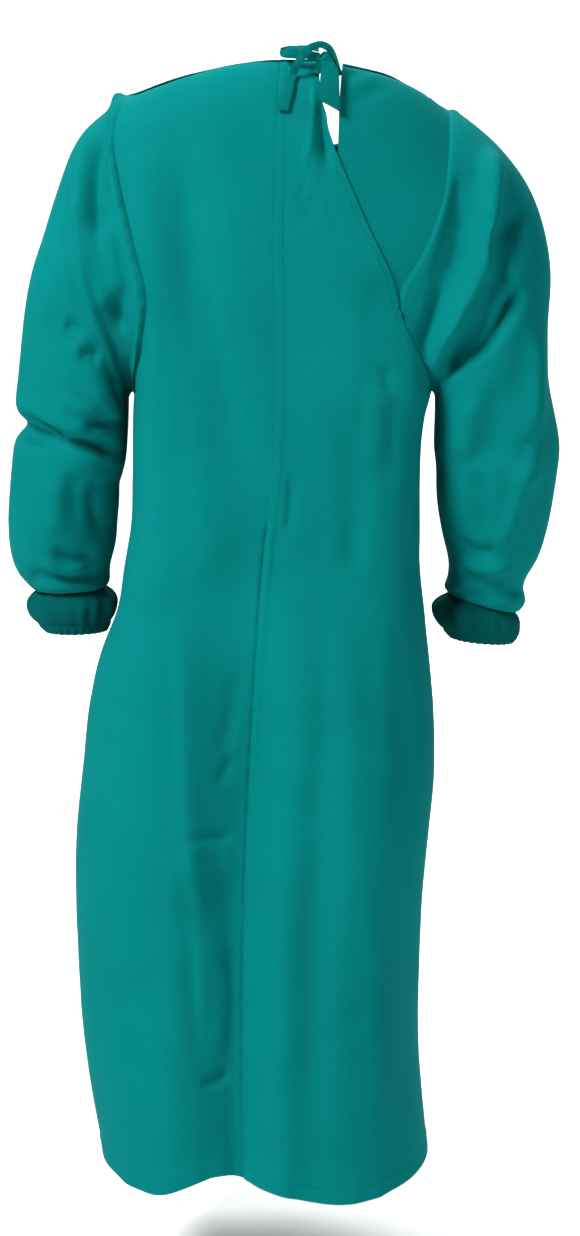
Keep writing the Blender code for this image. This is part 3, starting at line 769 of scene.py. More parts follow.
@dataclass(frozen=True)
class ClothFinish:
    """A plain woven cloth: its colour, sheen, threads and soft unevenness."""

    name: str
    colour: tuple[float, float, float]
    shade: tuple[float, float, float]
    roughness: float = 0.82
    wear: float = 0.05
    specular: float = 0.01
    sheen: float = 0.03
    sheen_tint: tuple[float, float, float, float] = (0.05, 0.9, 0.88, 1.0)
    fleck: float = 0.10
    thread: float = 0.0007
    thread_depth: float = 0.22
    thread_rise: float = 0.0002
    rumple: float = 0.35
    rumple_rise: float = 0.0012

    def build(self) -> bpy.types.Material:
        """Makes the material from procedural nodes.

        Returns:
            The finished material.
        """
        finish = bpy.data.materials.new(self.name)
        finish.use_nodes = True
        board = NodeBoard(finish.node_tree)
        mottle = board.noise(160.0)
        wear = {"To Min": self.roughness - self.wear, "To Max": self.roughness + self.wear}
        board.fill(board.tree.nodes["Principled BSDF"], {
            "Metallic": 0.0, "Specular IOR Level": self.specular,
            "Sheen Weight": self.sheen, "Sheen Roughness": 0.45, "Sheen Tint": self.sheen_tint,
            "Base Color": self.dye(board, mottle),
            "Roughness": board.add("MapRange", "Result", {"Value": mottle, **wear}),
            "Normal": self.relief(board)})
        finish.diffuse_color = (*self.colour, 1.0)
        return finish

    def dye(self, board: NodeBoard, mottle: bpy.types.NodeSocket) -> bpy.types.NodeSocket:
        """Colour that drifts a little over the cloth, with fine flecks.

        Args:
            board: the material's nodes.
            mottle: the fleck pattern.

        Returns:
            The colour.
        """
        drift = board.add("MapRange", "Result", {"From Min": 0.30, "From Max": 0.62,
                                                 "Value": board.noise(7.0, 3.0)})
        blend = board.add("Mix", "Result", {"A": (*self.shade, 1.0), "B": (*self.colour, 1.0),
                                            "Factor": drift}, data_type="RGBA")
        return board.add("Mix", "Result", {"Factor": self.fleck, "A": blend, "B": mottle},
                         data_type="RGBA", blend_type="MULTIPLY")

    def relief(self, board: NodeBoard) -> bpy.types.NodeSocket:
        """Bump from the crossing threads and from the cloth's fine rumples.

        Args:
            board: the material's nodes.

        Returns:
            The bumped normal.
        """
        flat = board.add("UVMap", "UV", {}, uv_map="cut")
        scale = 2 * math.pi / (20 * 2 * self.thread)
        warp, weft = [board.add("TexWave", "Fac", {"Scale": scale, "Distortion": 0.6,
                                                   "Detail": 0.0, "Vector": flat},
                                bands_direction=direction) for direction in ("X", "Y")]
        threads = board.add("Math", "Value", {0: warp, 1: weft}, operation="MULTIPLY")
        weave = board.add("Bump", "Normal", {"Strength": self.thread_depth, "Height": threads,
                                             "Distance": self.thread_rise})
        return board.add("Bump", "Normal", {"Strength": self.rumple, "Normal": weave,
                                            "Distance": self.rumple_rise,
                                            "Height": board.noise(55.0, 2.5)})


@dataclass(frozen=True)
class PlainFinish:
    """A plain matt finish for thread and for the floor."""

    name: str
    colour: tuple[float, float, float]
    roughness: float = 0.8
    specular: float = 0.01
    darker: float = 0.94

    def build(self) -> bpy.types.Material:
        """Makes the material, with a faint mottle in its colour.

        Returns:
            The finished material.
        """
        finish = bpy.data.materials.new(self.name)
        finish.use_nodes = True
        board = NodeBoard(finish.node_tree)
        dark = (*[self.darker * part for part in self.colour], 1.0)
        tint = board.add("Mix", "Result", {"A": dark, "B": (*self.colour, 1.0),
                                           "Factor": board.noise(300.0)}, data_type="RGBA")
        board.fill(board.tree.nodes["Principled BSDF"], {
            "Roughness": self.roughness, "Specular IOR Level": self.specular,
            "Base Color": tint})
        return finish


@dataclass
class Wardrobe:
    """The finishes that the gown's pieces share."""

    gown: ClothFinish = ClothFinish("gown_weave", (0.0010, 0.172, 0.167), (0.0008, 0.156, 0.151))
    # the cuffs' colour is darker than the gown's: painted shade standing in for the shade that
    # falls on the gathered cuffs
    cuff: ClothFinish = ClothFinish("cuff_weave", (0.0007, 0.084, 0.080), (0.0006, 0.070, 0.067),
                                    rumple=0.5)
    tape: ClothFinish = ClothFinish("tape_weave", (0.0009, 0.134, 0.127), (0.0007, 0.118, 0.112),
                                    rumple=0.25)
    thread: PlainFinish = PlainFinish("sewing_thread", (0.0010, 0.160, 0.155), 0.8)
    made: dict[str, bpy.types.Material] = field(default_factory=dict)

    def get(self, finish: ClothFinish | PlainFinish) -> bpy.types.Material:
        """Gives a finish's material, made once.

        Args:
            finish: the finish.

        Returns:
            Its material.
        """
        if finish.name not in self.made:
            self.made[finish.name] = finish.build()
        return self.made[finish.name]


def select_only(piece: bpy.types.Object) -> None:
    """Selects one object and makes it active, with everything else deselected.

    Args:
        piece: the object.
    """
    bpy.ops.object.select_all(action="DESELECT")
    piece.select_set(True)
    bpy.context.view_layer.objects.active = piece


@contextmanager
def editing(everything: bool = True) -> Iterator[None]:
    """Keeps the active object in edit mode for a while.

    Args:
        everything: whether all of it is selected first.

    Yields:
        Nothing.
    """
    bpy.ops.object.mode_set(mode="EDIT")
    if everything:
        bpy.ops.mesh.select_all(action="SELECT")
    yield
    bpy.ops.object.mode_set(mode="OBJECT")


@dataclass
class Fabric:
    """A grid of points made into a sewn sheet, with its flat cut in its UV map."""

    name: str
    grid: np.ndarray
    outward: np.ndarray
    closed: bool = False
    wall: float = 0.0012
    merge: float = 0.00002
    smooth_angle: float = 55.0

    def build(self, finish: bpy.types.Material) -> bpy.types.Object:
        """Makes the sheet.

        Args:
            finish: its material.

        Returns:
            The sheet, with its wall applied.
        """
        rows, columns = self.grid.shape[:2]
        bpy.ops.object.select_all(action="DESELECT")
        bpy.ops.mesh.primitive_grid_add(x_subdivisions=columns - 1, y_subdivisions=rows - 1,
                                        size=1.0)
        piece = bpy.context.active_object
        piece.name = piece.data.name = self.name
        mesh = piece.data
        flat = np.empty(len(mesh.vertices) * 3)
        mesh.vertices.foreach_get("co", flat)
        flat = flat.reshape(-1, 3)
        column = np.rint((flat[:, 0] + 0.5) * (columns - 1)).astype(int)
        row = np.rint((0.5 - flat[:, 1]) * (rows - 1)).astype(int)
        mesh.vertices.foreach_set("co", self.grid[row, column].ravel())
        self.lay_flat(mesh, row, column)
        mesh.update()
        self.turn_out(piece, row, column)
        if self.closed:
            with editing():
                bpy.ops.mesh.remove_doubles(threshold=self.merge)
        mesh.materials.append(finish)
        wall = piece.modifiers.new("Wall", "SOLIDIFY")
        wall.thickness = self.wall
        wall.offset = 0.0
        bpy.ops.object.modifier_apply(modifier="Wall")
        bpy.ops.object.shade_smooth_by_angle(angle=math.radians(self.smooth_angle))
        return piece

    def lay_flat(self, mesh: bpy.types.Mesh, row: np.ndarray, column: np.ndarray) -> None:
        """Writes the cloth's own lengths, in metres, to its UV map.

        Args:
            mesh: the sheet.
            row: the grid row of each vertex.
            column: the grid column of each vertex.
        """
        across = run_across(self.grid)
        down = run_length(self.grid[:, self.grid.shape[1] // 2])
        cut = mesh.uv_layers[0]
        cut.name = "cut"
        corner = np.empty(len(mesh.loops), int)
        mesh.loops.foreach_get("vertex_index", corner)
        places = np.stack([across[row[corner], column[corner]], -down[row[corner]]], -1)
        cut.data.foreach_set("uv", places.ravel())

    def turn_out(self, piece: bpy.types.Object, row: np.ndarray, column: np.ndarray) -> None:
        """Turns the faces over if they point inwards.

        Args:
            piece: the sheet.
            row: the grid row of each vertex.
            column: the grid column of each vertex.
        """
        normals = np.empty(len(piece.data.vertices) * 3)
        piece.data.vertices.foreach_get("normal", normals)
        facing = (normals.reshape(-1, 3) * self.outward[row, column]).sum(axis=1).mean()
        select_only(piece)
        if facing < 0:
            with editing():
                bpy.ops.mesh.flip_normals()


def declare(piece: bpy.types.Object, node: str) -> None:
    """Rides a piece on the gown's one body, in place of its solid.

    Args:
        piece: the piece.
        node: the node it replaces.
    """
    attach(piece, "root")
    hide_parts(node)


@dataclass
class StitchLine:
    """A row of short stitches that lies along a line on the cloth."""

    name: str
    line: np.ndarray
    normal: np.ndarray
    pitch: float = 0.0034
    long: float = 0.0024
    wide: float = 0.0007
    proud: float = 0.0007

    def build(self, finish: bpy.types.Material, slot: str) -> bpy.types.Object:
        """Makes the stitches as one joined mesh.

        Args:
            finish: the thread's material.
            slot: not used.

        Returns:
            The row of stitches.
        """
        length = run_length(self.line)
        count = max(int(length[-1] / self.pitch), 1)
        at = (np.arange(count) + 0.5) * self.pitch
        back, middle, ahead = [follow(at + step, length, self.line) for step in (-0.001, 0, 0.001)]
        run = unit(ahead - back)
        up = unit(follow(at, length, self.normal))
        aside = unit(np.cross(run, up))
        shape, faces = self.one_stitch()
        points = (middle[:, None] + up[:, None] * self.proud
                  + shape[None, :, 0:1] * run[:, None] + shape[None, :, 1:2] * aside[:, None]
                  + shape[None, :, 2:3] * up[:, None]).reshape(-1, 3)
        every = (faces[None] + (np.arange(count) * len(shape))[:, None, None]).reshape(-1, 4)
        mesh = bpy.data.meshes.new(self.name)
        mesh.from_pydata(points.tolist(), [], every.tolist())
        mesh.validate()
        mesh.materials.append(finish)
        mesh.shade_smooth()
        piece = bpy.data.objects.new(self.name, mesh)
        bpy.context.scene.collection.objects.link(piece)
        select_only(piece)
        with editing():
            bpy.ops.mesh.normals_make_consistent(inside=False)
        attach(piece, "root")
        return piece

    def one_stitch(self) -> tuple[np.ndarray, np.ndarray]:
        """One stitch as a short, round-ended bar of six sides.

        Returns:
            Its points (along, aside, up) and its faces.
        """
        sides = 6
        turn = np.arange(sides) * 2 * math.pi / sides
        rings = []
        for along, size in ((-0.5, 0.25), (-0.3, 1.0), (0.3, 1.0), (0.5, 0.25)):
            rings.append(np.stack([np.full(sides, along * self.long),
                                   0.5 * self.wide * size * np.cos(turn),
                                   0.35 * self.wide * size * np.sin(turn)], -1))
        faces = []
        for ring in range(3):
            for side in range(sides):
                after = (side + 1) % sides
                faces.append((ring * sides + side, ring * sides + after,
                              (ring + 1) * sides + after, (ring + 1) * sides + side))
        last = 3 * sides
        for start, order in ((0, -1), (last, 1)):
            loop = [start + k for k in range(sides)][::order]
            faces += [(loop[0], loop[1], loop[2], loop[3]), (loop[3], loop[4], loop[5], loop[0])]
        return np.concatenate(rings), np.array(faces)


BACK_CREASES: tuple[Crease, ...] = (
    # the broad rise and fall that the solids have too
    soft(50, -6, (-122, -100), (-44, -500), fades=(0, 0)),
    soft(40, 6, (-145, -120), (-150, -560), fades=(0, 0)),
    soft(50, 6, (-150, -560), (-175, -950), fades=(0, 0)),
    soft(52, -6, (-66, -560), (-80, -900), fades=(0, 0)),
    soft(60, -9, (-78, -900), (-78, -1300), fades=(0, 0)),
    # the valley along the centre seam, its left wall turned from the light
    sharp(60, -29, (-29, -500), (-36, -640), (-46, -780), (-52, -950), (-56, -1120), (-58, -1300),
          lean=-0.15, fades=(0.45, 0)),
    soft(45, 6, (-2, -580), (-15, -1300), fades=(0, 0)),
    soft(140, -12, (45, -180), (30, -640), fades=(0.2, 0.3)),
    soft(40, -4, (100, -250), (105, -420), fades=(0, 0)),
    soft(45, -3, (25, -800), (0, -1300), fades=(0, 0)),
    soft(55, 6, (80, -750), (70, -1300), fades=(0, 0)),
    # the left back: one long soft valley that runs to the seam, and the ridge beside it
    soft(30, -4, (-118, -96), (-99, -199), (-78, -303), (-42, -462), lean=-0.35),
    sharp(14, 3.6, (-140, -226), (-137, -290), (-140, -353), (-150, -442), lean=-0.4,
          fades=(0.5, 0.5)),
    sharp(20, 5.2, (-120, -526), (-114, -676), (-110, -825), (-99, -916), (-97, -1010),
          (-108, -1116), lean=0.35),
    sharp(12, -3.4, (-62, -734), (-80, -772)),
    sharp(10, -4.6, (-123, -826), (-90, -824), (-59, -827), lean=-0.3),
    soft(18, -2.4, (-104, -846), (-70, -850)),
    sharp(12, -5.8, (-104, -1100), (-66, -1086), lean=-0.3),
    soft(14, 2.6, (-90, -900), (-76, -990), (-84, -1090)),
    soft(14, -2.8, (-60, -640), (-66, -700), (-78, -745)),
    sharp(12, -3, (-112, -930), (-100, -1090), lean=0.2),
    # the flap: soft dents and drapes
    sharp(10, -2.8, (1, -432), (0, -465), (-3, -502), lean=0.3),
    sharp(12, -3.4, (107, -318), (106, -352)),
    soft(20, 3.4, (101, -324), (94, -380), (98, -440)),
    soft(26, -2.6, (60, -350), (72, -440), (66, -560)),
    soft(18, -2.2, (69, -480), (72, -545)),
    soft(32, -3.6, (22, -836), (17, -1165)),
    soft(28, 3.6, (92, -894), (99, -1198)),
    soft(22, -3.4, (120, -560), (128, -900)),
    soft(30, 2.4, (45, -540), (60, -700), (52, -860)),
    # the folds below the keyhole, where the bow pulls the flap up
    sharp(11, 3, (25.5, -20), (24.5, -60), (19, -100), (8, -165), lean=0.45, fades=(0.15, 0.5)),
    sharp(12, -10.5, (32, -40), (34, -65), (37, -90), (41, -120), lean=-0.4, fades=(0.25, 0.35)),
    sharp(8, -2.2, (24, -92), (16, -126), (8, -160)),
    soft(16, -1.8, (12, -150), (30, -160)),
    soft(10, 1.8, (55, -33), (97, -17)),
    soft(10, -1.4, (60, -48), (110, -28)),
    # storage folds across the skirt and small handling dents
    soft(14, -0.9, (-20, -655), (60, -648), (120, -652)),
    soft(18, -1.6, (-200, -690), (-140, -700)),
    soft(24, -2.4, (-190, -980), (-150, -1120)),
    soft(20, -1.4, (30, -1060), (80, -1010)),
)
FRONT_CREASES: tuple[Crease, ...] = (
    soft(60, 8, (-130, -450), (-150, -1300), fades=(0, 0)),
    soft(60, -8, (-60, -600), (-70, -1300), fades=(0, 0)),
    soft(50, 7, (-5, -700), (-5, -1300), fades=(0, 0)),
    soft(24, -2.8, (-110, -180), (-90, -300), (-40, -470)),
    soft(22, -2.6, (85, -190), (72, -330), (30, -480)),
    sharp(14, -2.4, (-135, -290), (-105, -330)),
    sharp(14, -2.6, (112, -280), (82, -330)),
    soft(30, 2.4, (-20, -300), (-28, -620)),
    soft(34, -5, (60, -560), (78, -1180)),
    soft(26, 3.4, (100, -620), (115, -1190)),
    soft(26, -4, (-110, -700), (-118, -1190)),
    soft(26, 3, (20, -880), (26, -1200)),
)
LEFT_SLEEVE_CREASES: tuple[Crease, ...] = (
    soft(22, -6, (-203, -60), (-208, -170), fades=(0, 0)),
    soft(24, -8, (-190, -270), (-168, -370), fades=(0, 0)),
    soft(18, 5, (-225, -300), (-185, -380), fades=(0, 0)),
    soft(16, -9, (-290, -392), (-200, -412), fades=(0, 0)),
    soft(18, 5, (-290, -370), (-230, -390), fades=(0, 0)),
    soft(14, -4, (-280, -560), (-200, -562), fades=(0, 0)),
    sharp(18, -8.5, (-192, -45), (-206, -80), (-211, -117), (-208, -158), (-196, -205), lean=0.25),
    sharp(12, -6, (-247, -112), (-240, -150), (-230, -205), lean=0.2),
    # the long fold from the outer pinch down to the inside of the elbow
    sharp(15, 7, (-236, -130), (-222, -190), (-212, -250), (-190, -310), (-166, -376), lean=0.4,
          fades=(0.15, 0.15)),
    sharp(13, -5, (-214, -200), (-204, -260), (-182, -318), (-164, -362), lean=-0.2),
    soft(12, 3, (-196, -150), (-186, -215), (-172, -262)),
    soft(20, -4.6, (-256, -190), (-250, -270), (-242, -320)),
    sharp(14, -7, (-173, -232), (-182, -268), (-172, -290)),
    soft(50, 6, (-285, -235), (-215, -215)),
    sharp(12, -9.5, (-243, -274), (-230, -284), (-222, -294)),
    sharp(10, -9, (-226, -312), (-212, -308), (-204, -318)),
    soft(16, 3.4, (-246, -320), (-214, -350), (-190, -360)),
    soft(16, -6, (-184, -330), (-172, -366)),
    sharp(10, -8.5, (-296, -374), (-274, -380), (-252, -392), (-234, -398), lean=-0.3),
    soft(8, 3.4, (-270, -389), (-248, -398), (-232, -404)),
    sharp(10, -9, (-222, -384), (-196, -382), (-166, -386), lean=-0.3),
    sharp(9, -5, (-250, -404), (-205, -413), (-169, -424)),
    soft(10, 4, (-255, -362), (-200, -370)),
    soft(22, 3.6, (-262, -440), (-246, -510)),
    soft(18, -3, (-228, -430), (-238, -500)),
    sharp(14, -5, (-208, -440), (-214, -480), (-204, -515)),
    sharp(12, -7, (-262, -524), (-240, -534), (-212, -530), lean=-0.3),
    soft(9, 3.6, (-278, -536), (-250, -551), (-218, -549)),
    sharp(7, -3, (-276, -552), (-240, -562), (-208, -552)),
)
RIGHT_SLEEVE_CREASES: tuple[Crease, ...] = (
    soft(20, 7, (215, -110), (205, -215), fades=(0, 0)),
    soft(20, 8, (205, -215), (150, -320), fades=(0, 0)),
    soft(22, -5, (178, -140), (152, -300), fades=(0, 0)),
    soft(22, -6, (240, -170), (185, -290), fades=(0, 0)),
    soft(16, -10, (235, -245), (175, -320), fades=(0, 0)),
    soft(24, 5, (265, -300), (255, -440), fades=(0, 0)),
    soft(14, -4, (245, -575), (180, -585), fades=(0, 0)),
    sharp(13, 7.5, (212, -80), (209, -145), (198, -222), (176, -273), (146, -312), lean=0.3,
          fades=(0.2, 0.15)),
    soft(20, -5, (190, -140), (182, -200), (170, -240)),
    sharp(10, -4, (162, -230), (150, -270), (141, -306), lean=-0.2),
    sharp(10, -6, (248, -158), (236, -176), (226, -194)),
    sharp(13, -6, (236, -156), (212, -198), (192, -235), (176, -288), lean=-0.2),
    sharp(10, -11, (243, -242), (228, -270), (213, -292), (186, -318), lean=0.2,
          fades=(0.15, 0.3)),
    soft(13, 6.2, (250, -222), (228, -250), (200, -290)),
    sharp(10, -7.5, (184, -290), (173, -314), (165, -340)),
    sharp(10, -5, (150, -316), (143, -338)),
    sharp(18, 5.6, (262, -285), (258, -350), (256, -403), lean=0.45),
    sharp(12, -3.4, (268, -412), (256, -404), (250, -440)),
    sharp(18, 5, (257, -403), (246, -470), (222, -538), lean=0.3),
    soft(24, -4, (225, -330), (212, -440)),
    soft(16, 3.4, (190, -350), (186, -430)),
    soft(18, -4, (200, -430), (214, -520)),
    sharp(12, -6, (178, -512), (206, -528), (232, -522), lean=-0.3),
    soft(10, 4.6, (180, -534), (214, -548), (250, -546)),
    sharp(10, -5.6, (182, -552), (214, -566), (252, -562)),
)


@dataclass
class BodyCloth:
    """The four body panels as fine grids that meet at their seams."""

    form: BodyForm
    seams: Seams
    climbing: int = 84
    dropping: int = 204
    shoulder: int = 15
    left: int = 48
    flap: int = 108
    under: int = 30
    front: int = 72
    hem_band: float = 0.018
    edge_band: float = 0.010
    seam_groove: float = 0.0011
    seam_step: float = -0.484
    groove_width: float = 0.0026
    felling: float = 0.0006
    felling_width: float = 0.0115
    slow_rumple: float = 0.0009
    quick_rumple: float = 0.00022
    edge_thick: float = 0.0003
    edge_wave: float = 0.0002
    rows: list[float] = field(default_factory=list)
    grids: dict[str, np.ndarray] = field(default_factory=dict)
    normals: dict[str, np.ndarray] = field(default_factory=dict)

    def outward(self, grid: np.ndarray) -> np.ndarray:
        """Rough outward directions round the body's upright middle."""
        middle = np.array([-0.02, 0.0, 0.0])
        return unit((grid - middle) * np.array([1.0, 1.0, 0.0]))

    def rumple(self, grid: np.ndarray) -> np.ndarray:
        """Works out the faint handling waves all over the cloth.

        Args:
            grid: the points of a sheet.

        Returns:
            The push at each point.
        """
        x, z = grid[..., 0] + 0.4 * grid[..., 1], grid[..., 2]
        slow = uneven(z + 0.35 * x, 0.19, 1.3) * uneven(x - 0.2 * z, 0.13, 4.1)
        quick = uneven(z - 0.5 * x, 0.061, 2.2) * uneven(x + 0.3 * z, 0.047, 0.7)
        return self.slow_rumple * slow + self.quick_rumple * quick

    def drape(self, name: str, grid: np.ndarray, side: Side, lift: np.ndarray) -> None:
        """Lays creases, hem and edge on a plain panel and keeps it.

        Args:
            name: the panel's node.
            grid: its plain grid on the form.
            side: the half whose creases it takes.
            lift: how far it stands off the form.
        """
        grid = settle(grid, 10)
        normal = grid_normals(grid, self.outward)
        x, z = grid[..., 0], grid[..., 2]
        behind = np.clip(-normal[..., 1] * 1.6 - 0.3, 0.0, 1.0)
        ahead = np.clip(normal[..., 1] * 1.6 - 0.3, 0.0, 1.0)
        push = total_push(BACK_CREASES, x, z) * behind if side is Side.BACK else 0.0
        push = push + total_push(FRONT_CREASES, x, z) * ahead
        top = smooth_step(np.arange(len(grid)) / 5.0)[:, None]
        push = (push + self.rumple(grid)) * top
        down = run_up(grid)
        push += 0.0007 * smooth_step((self.hem_band + 0.004 - down) / 0.004)
        push += 0.0012 * uneven(x, 0.034, 3.0) * smooth_step((0.05 - down) / 0.05)
        self.grids[name] = grid + normal * (push + lift)[..., None]
        self.normals[name] = normal

    def work(self) -> None:
        """Makes every panel and joins their shared edges."""
        form, seams = self.form, self.seams
        self.rows = form.rows(self.climbing, self.dropping)
        corners = {(side, arm): form.neck_corner(side, arm) for side in Side for arm in Arm}
        plain: dict[str, list[np.ndarray]] = {name: [] for name in
                                              ("back_left_panel", "back_flap",
                                               "back_right_panel", "front_panel")}
        lifts = []
        for row in self.rows:
            centre = seams.cross(form, seams.centre, row)
            left, right = corners[Side.BACK, Arm.LEFT], corners[Side.BACK, Arm.RIGHT]
            places = np.concatenate([np.linspace(0.0, left, self.shoulder + 1)[:-1],
                                     left + (centre - left) * crowded(self.left, 0.0, 0.7)])
            plain["back_left_panel"].append(form.points(Side.BACK, places, row))
            end = seams.flap_end(form, row)
            places = centre + (end - centre) * crowded(self.flap, 0.7, 0.6)
            plain["back_flap"].append(form.round_points(places, row))
            lifts.append(seams.flap_lift(form, places, row))
            free = seams.cross(form, seams.under, row)
            places = np.concatenate([np.linspace(free, right, self.under + 1)[:-1],
                                     np.linspace(right, 1.0, self.shoulder + 1)])
            plain["back_right_panel"].append(form.points(Side.BACK, places, row))
            left, right = corners[Side.FRONT, Arm.LEFT], corners[Side.FRONT, Arm.RIGHT]
            places = np.concatenate([np.linspace(0.0, left, self.shoulder + 1)[:-1],
                                     np.linspace(left, right, self.front + 1)[:-1],
                                     np.linspace(right, 1.0, self.shoulder + 1)])
            plain["front_panel"].append(form.points(Side.FRONT, places, row))
        flat = np.zeros(1)
        self.drape("back_left_panel", np.array(plain["back_left_panel"]), Side.BACK, flat)
        self.drape("back_flap", np.array(plain["back_flap"]), Side.BACK, np.array(lifts))
        self.drape("back_right_panel", np.array(plain["back_right_panel"]), Side.BACK, flat)
        self.drape("front_panel", np.array(plain["front_panel"]), Side.FRONT, flat)
        self.sew("back_left_panel", -1, "back_flap", 0)
        self.sew("back_left_panel", 0, "front_panel", 0, self.climbing)
        self.sew("back_right_panel", -1, "front_panel", -1, self.climbing)
        self.work_centre_seam()
        self.work_free_edge()

    def sew(self, one: str, column: int, other: str, other_column: int, start: int = 0) -> None:
        """Brings two panels' edges together on one line.

        Args:
            one: the first panel.
            column: its edge column.
            other: the second panel.
            other_column: that panel's edge column.
            start: the row that the seam starts from.
        """
        line = (self.grids[one][start:, column] + self.grids[other][start:, other_column]) / 2
        self.grids[one][start:, column] = line
        self.grids[other][start:, other_column] = line

    def work_centre_seam(self) -> None:
        """Sinks the centre seam into a groove, with the felled allowance raised beside it."""
        heights = self.grids["back_flap"][:, :1, 2]
        deeper = 0.22 + 1.78 * smooth_step((self.seam_step - heights) / 0.012)
        pucker = 1.0 + 0.35 * uneven(heights, 0.021, 1.7)
        left = run_across(self.grids["back_left_panel"])
        away = {"back_left_panel": left[:, -1:] - left,
                "back_flap": run_across(self.grids["back_flap"])}
        for name, distance in away.items():
            push = -self.seam_groove * deeper * np.exp(-(distance / self.groove_width) ** 2)
            if name == "back_flap":
                push += (self.felling * deeper * smooth_step(distance / 0.003)
                         * smooth_step((self.felling_width - distance) / 0.004))
            self.grids[name] += self.normals[name] * (push * pucker)[..., None]
        self.sew("back_left_panel", -1, "back_flap", 0)

    def work_free_edge(self) -> None:
        """Turns a narrow doubled hem along the flap's free edge, with a slight wave."""
        grid = self.grids["back_flap"]
        across = run_across(grid)
        away = across[:, -1:] - across
        length = run_length(grid[:, -1])[:, None]
        thick = self.edge_thick * smooth_step((self.edge_band + 0.003 - away) / 0.003)
        wave = self.edge_wave * np.exp(-(away / 0.018) ** 2) * (1 + uneven(length, 0.055, 0.4))
        grid += self.normals["back_flap"] * (thick + wave)[..., None]

    def armhole_rows(self) -> np.ndarray:
        """The rows above the underarm, from the shoulder down to it."""
        return np.array(self.rows[:self.climbing + 1])

    def armhole_loop(self, arm: Arm) -> np.ndarray:
        """Follows the armhole edge of the panels, down the back and up the front.

        Args:
            arm: the arm.

        Returns:
            The points of the edge.
        """
        column = 0 if arm is Arm.LEFT else -1
        back = "back_left_panel" if arm is Arm.LEFT else "back_right_panel"
        down = self.grids[back][:self.climbing + 1, column]
        up = self.grids["front_panel"][:self.climbing + 1, column][::-1]
        return np.concatenate([down, up[1:]])


@dataclass
class Tube:
    """A tube of cloth round an arm, given by rings from one end to the other."""

    rings: tuple[Ring, ...]
    roundness: float = 0.94

    def ring_points(self, turns: np.ndarray, along: float) -> np.ndarray:
        """Finds points round the tube.

        Args:
            turns: shares of a turn.
            along: a share of the way along the tube.

        Returns:
            A point for each turn.
        """
        places = np.linspace(0.0, 1.0, len(self.rings))
        size = {name: float(glide(places, [getattr(ring, name) for ring in self.rings],
                                  np.array(along))) for name in Ring._fields}
        angle = 2 * math.pi * turns
        middle = np.array([(size["outer_x"] + size["inner_x"]) / 2, size["middle_y"],
                           (size["outer_z"] + size["inner_z"]) / 2])
        outer = np.array([size["outer_x"], size["middle_y"], size["outer_z"]]) - middle
        deep = np.array([0.0, -size["half_depth"], 0.0])
        wide = np.sign(np.cos(angle)) * np.abs(np.cos(angle)) ** self.roundness
        tall = np.sign(np.sin(angle)) * np.abs(np.sin(angle)) ** self.roundness
        return middle + wide[:, None] * outer + tall[:, None] * deep

    def outward(self, grid: np.ndarray) -> np.ndarray:
        """Directions from the tube's middle line."""
        return unit(grid - grid[:, :-1].mean(axis=1, keepdims=True))


@dataclass
class SleeveForm(Tube):
    """One sleeve's rings and creases, set into the armhole of the body."""

    arm: Arm = Arm.LEFT
    creases: tuple[Crease, ...] = ()
    rows: int = 128
    blend: float = 0.35
    strength: float = 1.35
    ridge: float = 0.0010

    def turns(self, body: BodyCloth) -> np.ndarray:
        """The turns round the sleeve at which the body's rows meet it."""
        down = (1 - body.armhole_rows()) / 2
        return np.concatenate([down, 1 - down[::-1][1:]])

    def work(self, body: BodyCloth) -> tuple[np.ndarray, np.ndarray]:
        """Lays the sleeve's cloth.

        Args:
            body: the panels that it is sewn to.

        Returns:
            The sleeve's grid and its normals.
        """
        turns = self.turns(body)
        loop = body.armhole_loop(self.arm)
        pull = loop - self.ring_points(turns, 0.0)
        plain = [self.ring_points(turns, along)
                 + max(0.0, 1 - along / self.blend) ** 2 * pull
                 for along in np.linspace(0.0, 1.0, self.rows + 1)]
        grid = settle(np.array(plain), 12, closed=True)
        normal = grid_normals(grid, self.outward, closed=True)
        x, z = grid[..., 0], grid[..., 2]
        behind = np.clip(-normal[..., 1] * 1.6 - 0.1, 0.0, 1.0)
        ahead = np.clip(normal[..., 1] * 1.6 - 0.1, 0.0, 1.0)
        start = smooth_step(np.linspace(0.0, 20.0, self.rows + 1))[:, None]
        fold = self.strength * total_push(self.creases, x, z)
        push = fold * behind + 0.7 * fold * ahead
        push += 0.0008 * uneven(z + 0.6 * x, 0.09, 2.0) * uneven(x - grid[..., 1], 0.07, 3.0)
        length = run_length(loop)[None, :]
        ease = np.exp(-((np.arange(self.rows + 1) - 2.5) / 2.5) ** 2)[:, None]
        seam = self.ridge * (1 + 0.5 * uneven(length, 0.019, 0.3)) * ease
        grid = settle(grid + normal * (push * start + seam)[..., None], 2, closed=True)
        grid[0] = loop
        return grid, normal


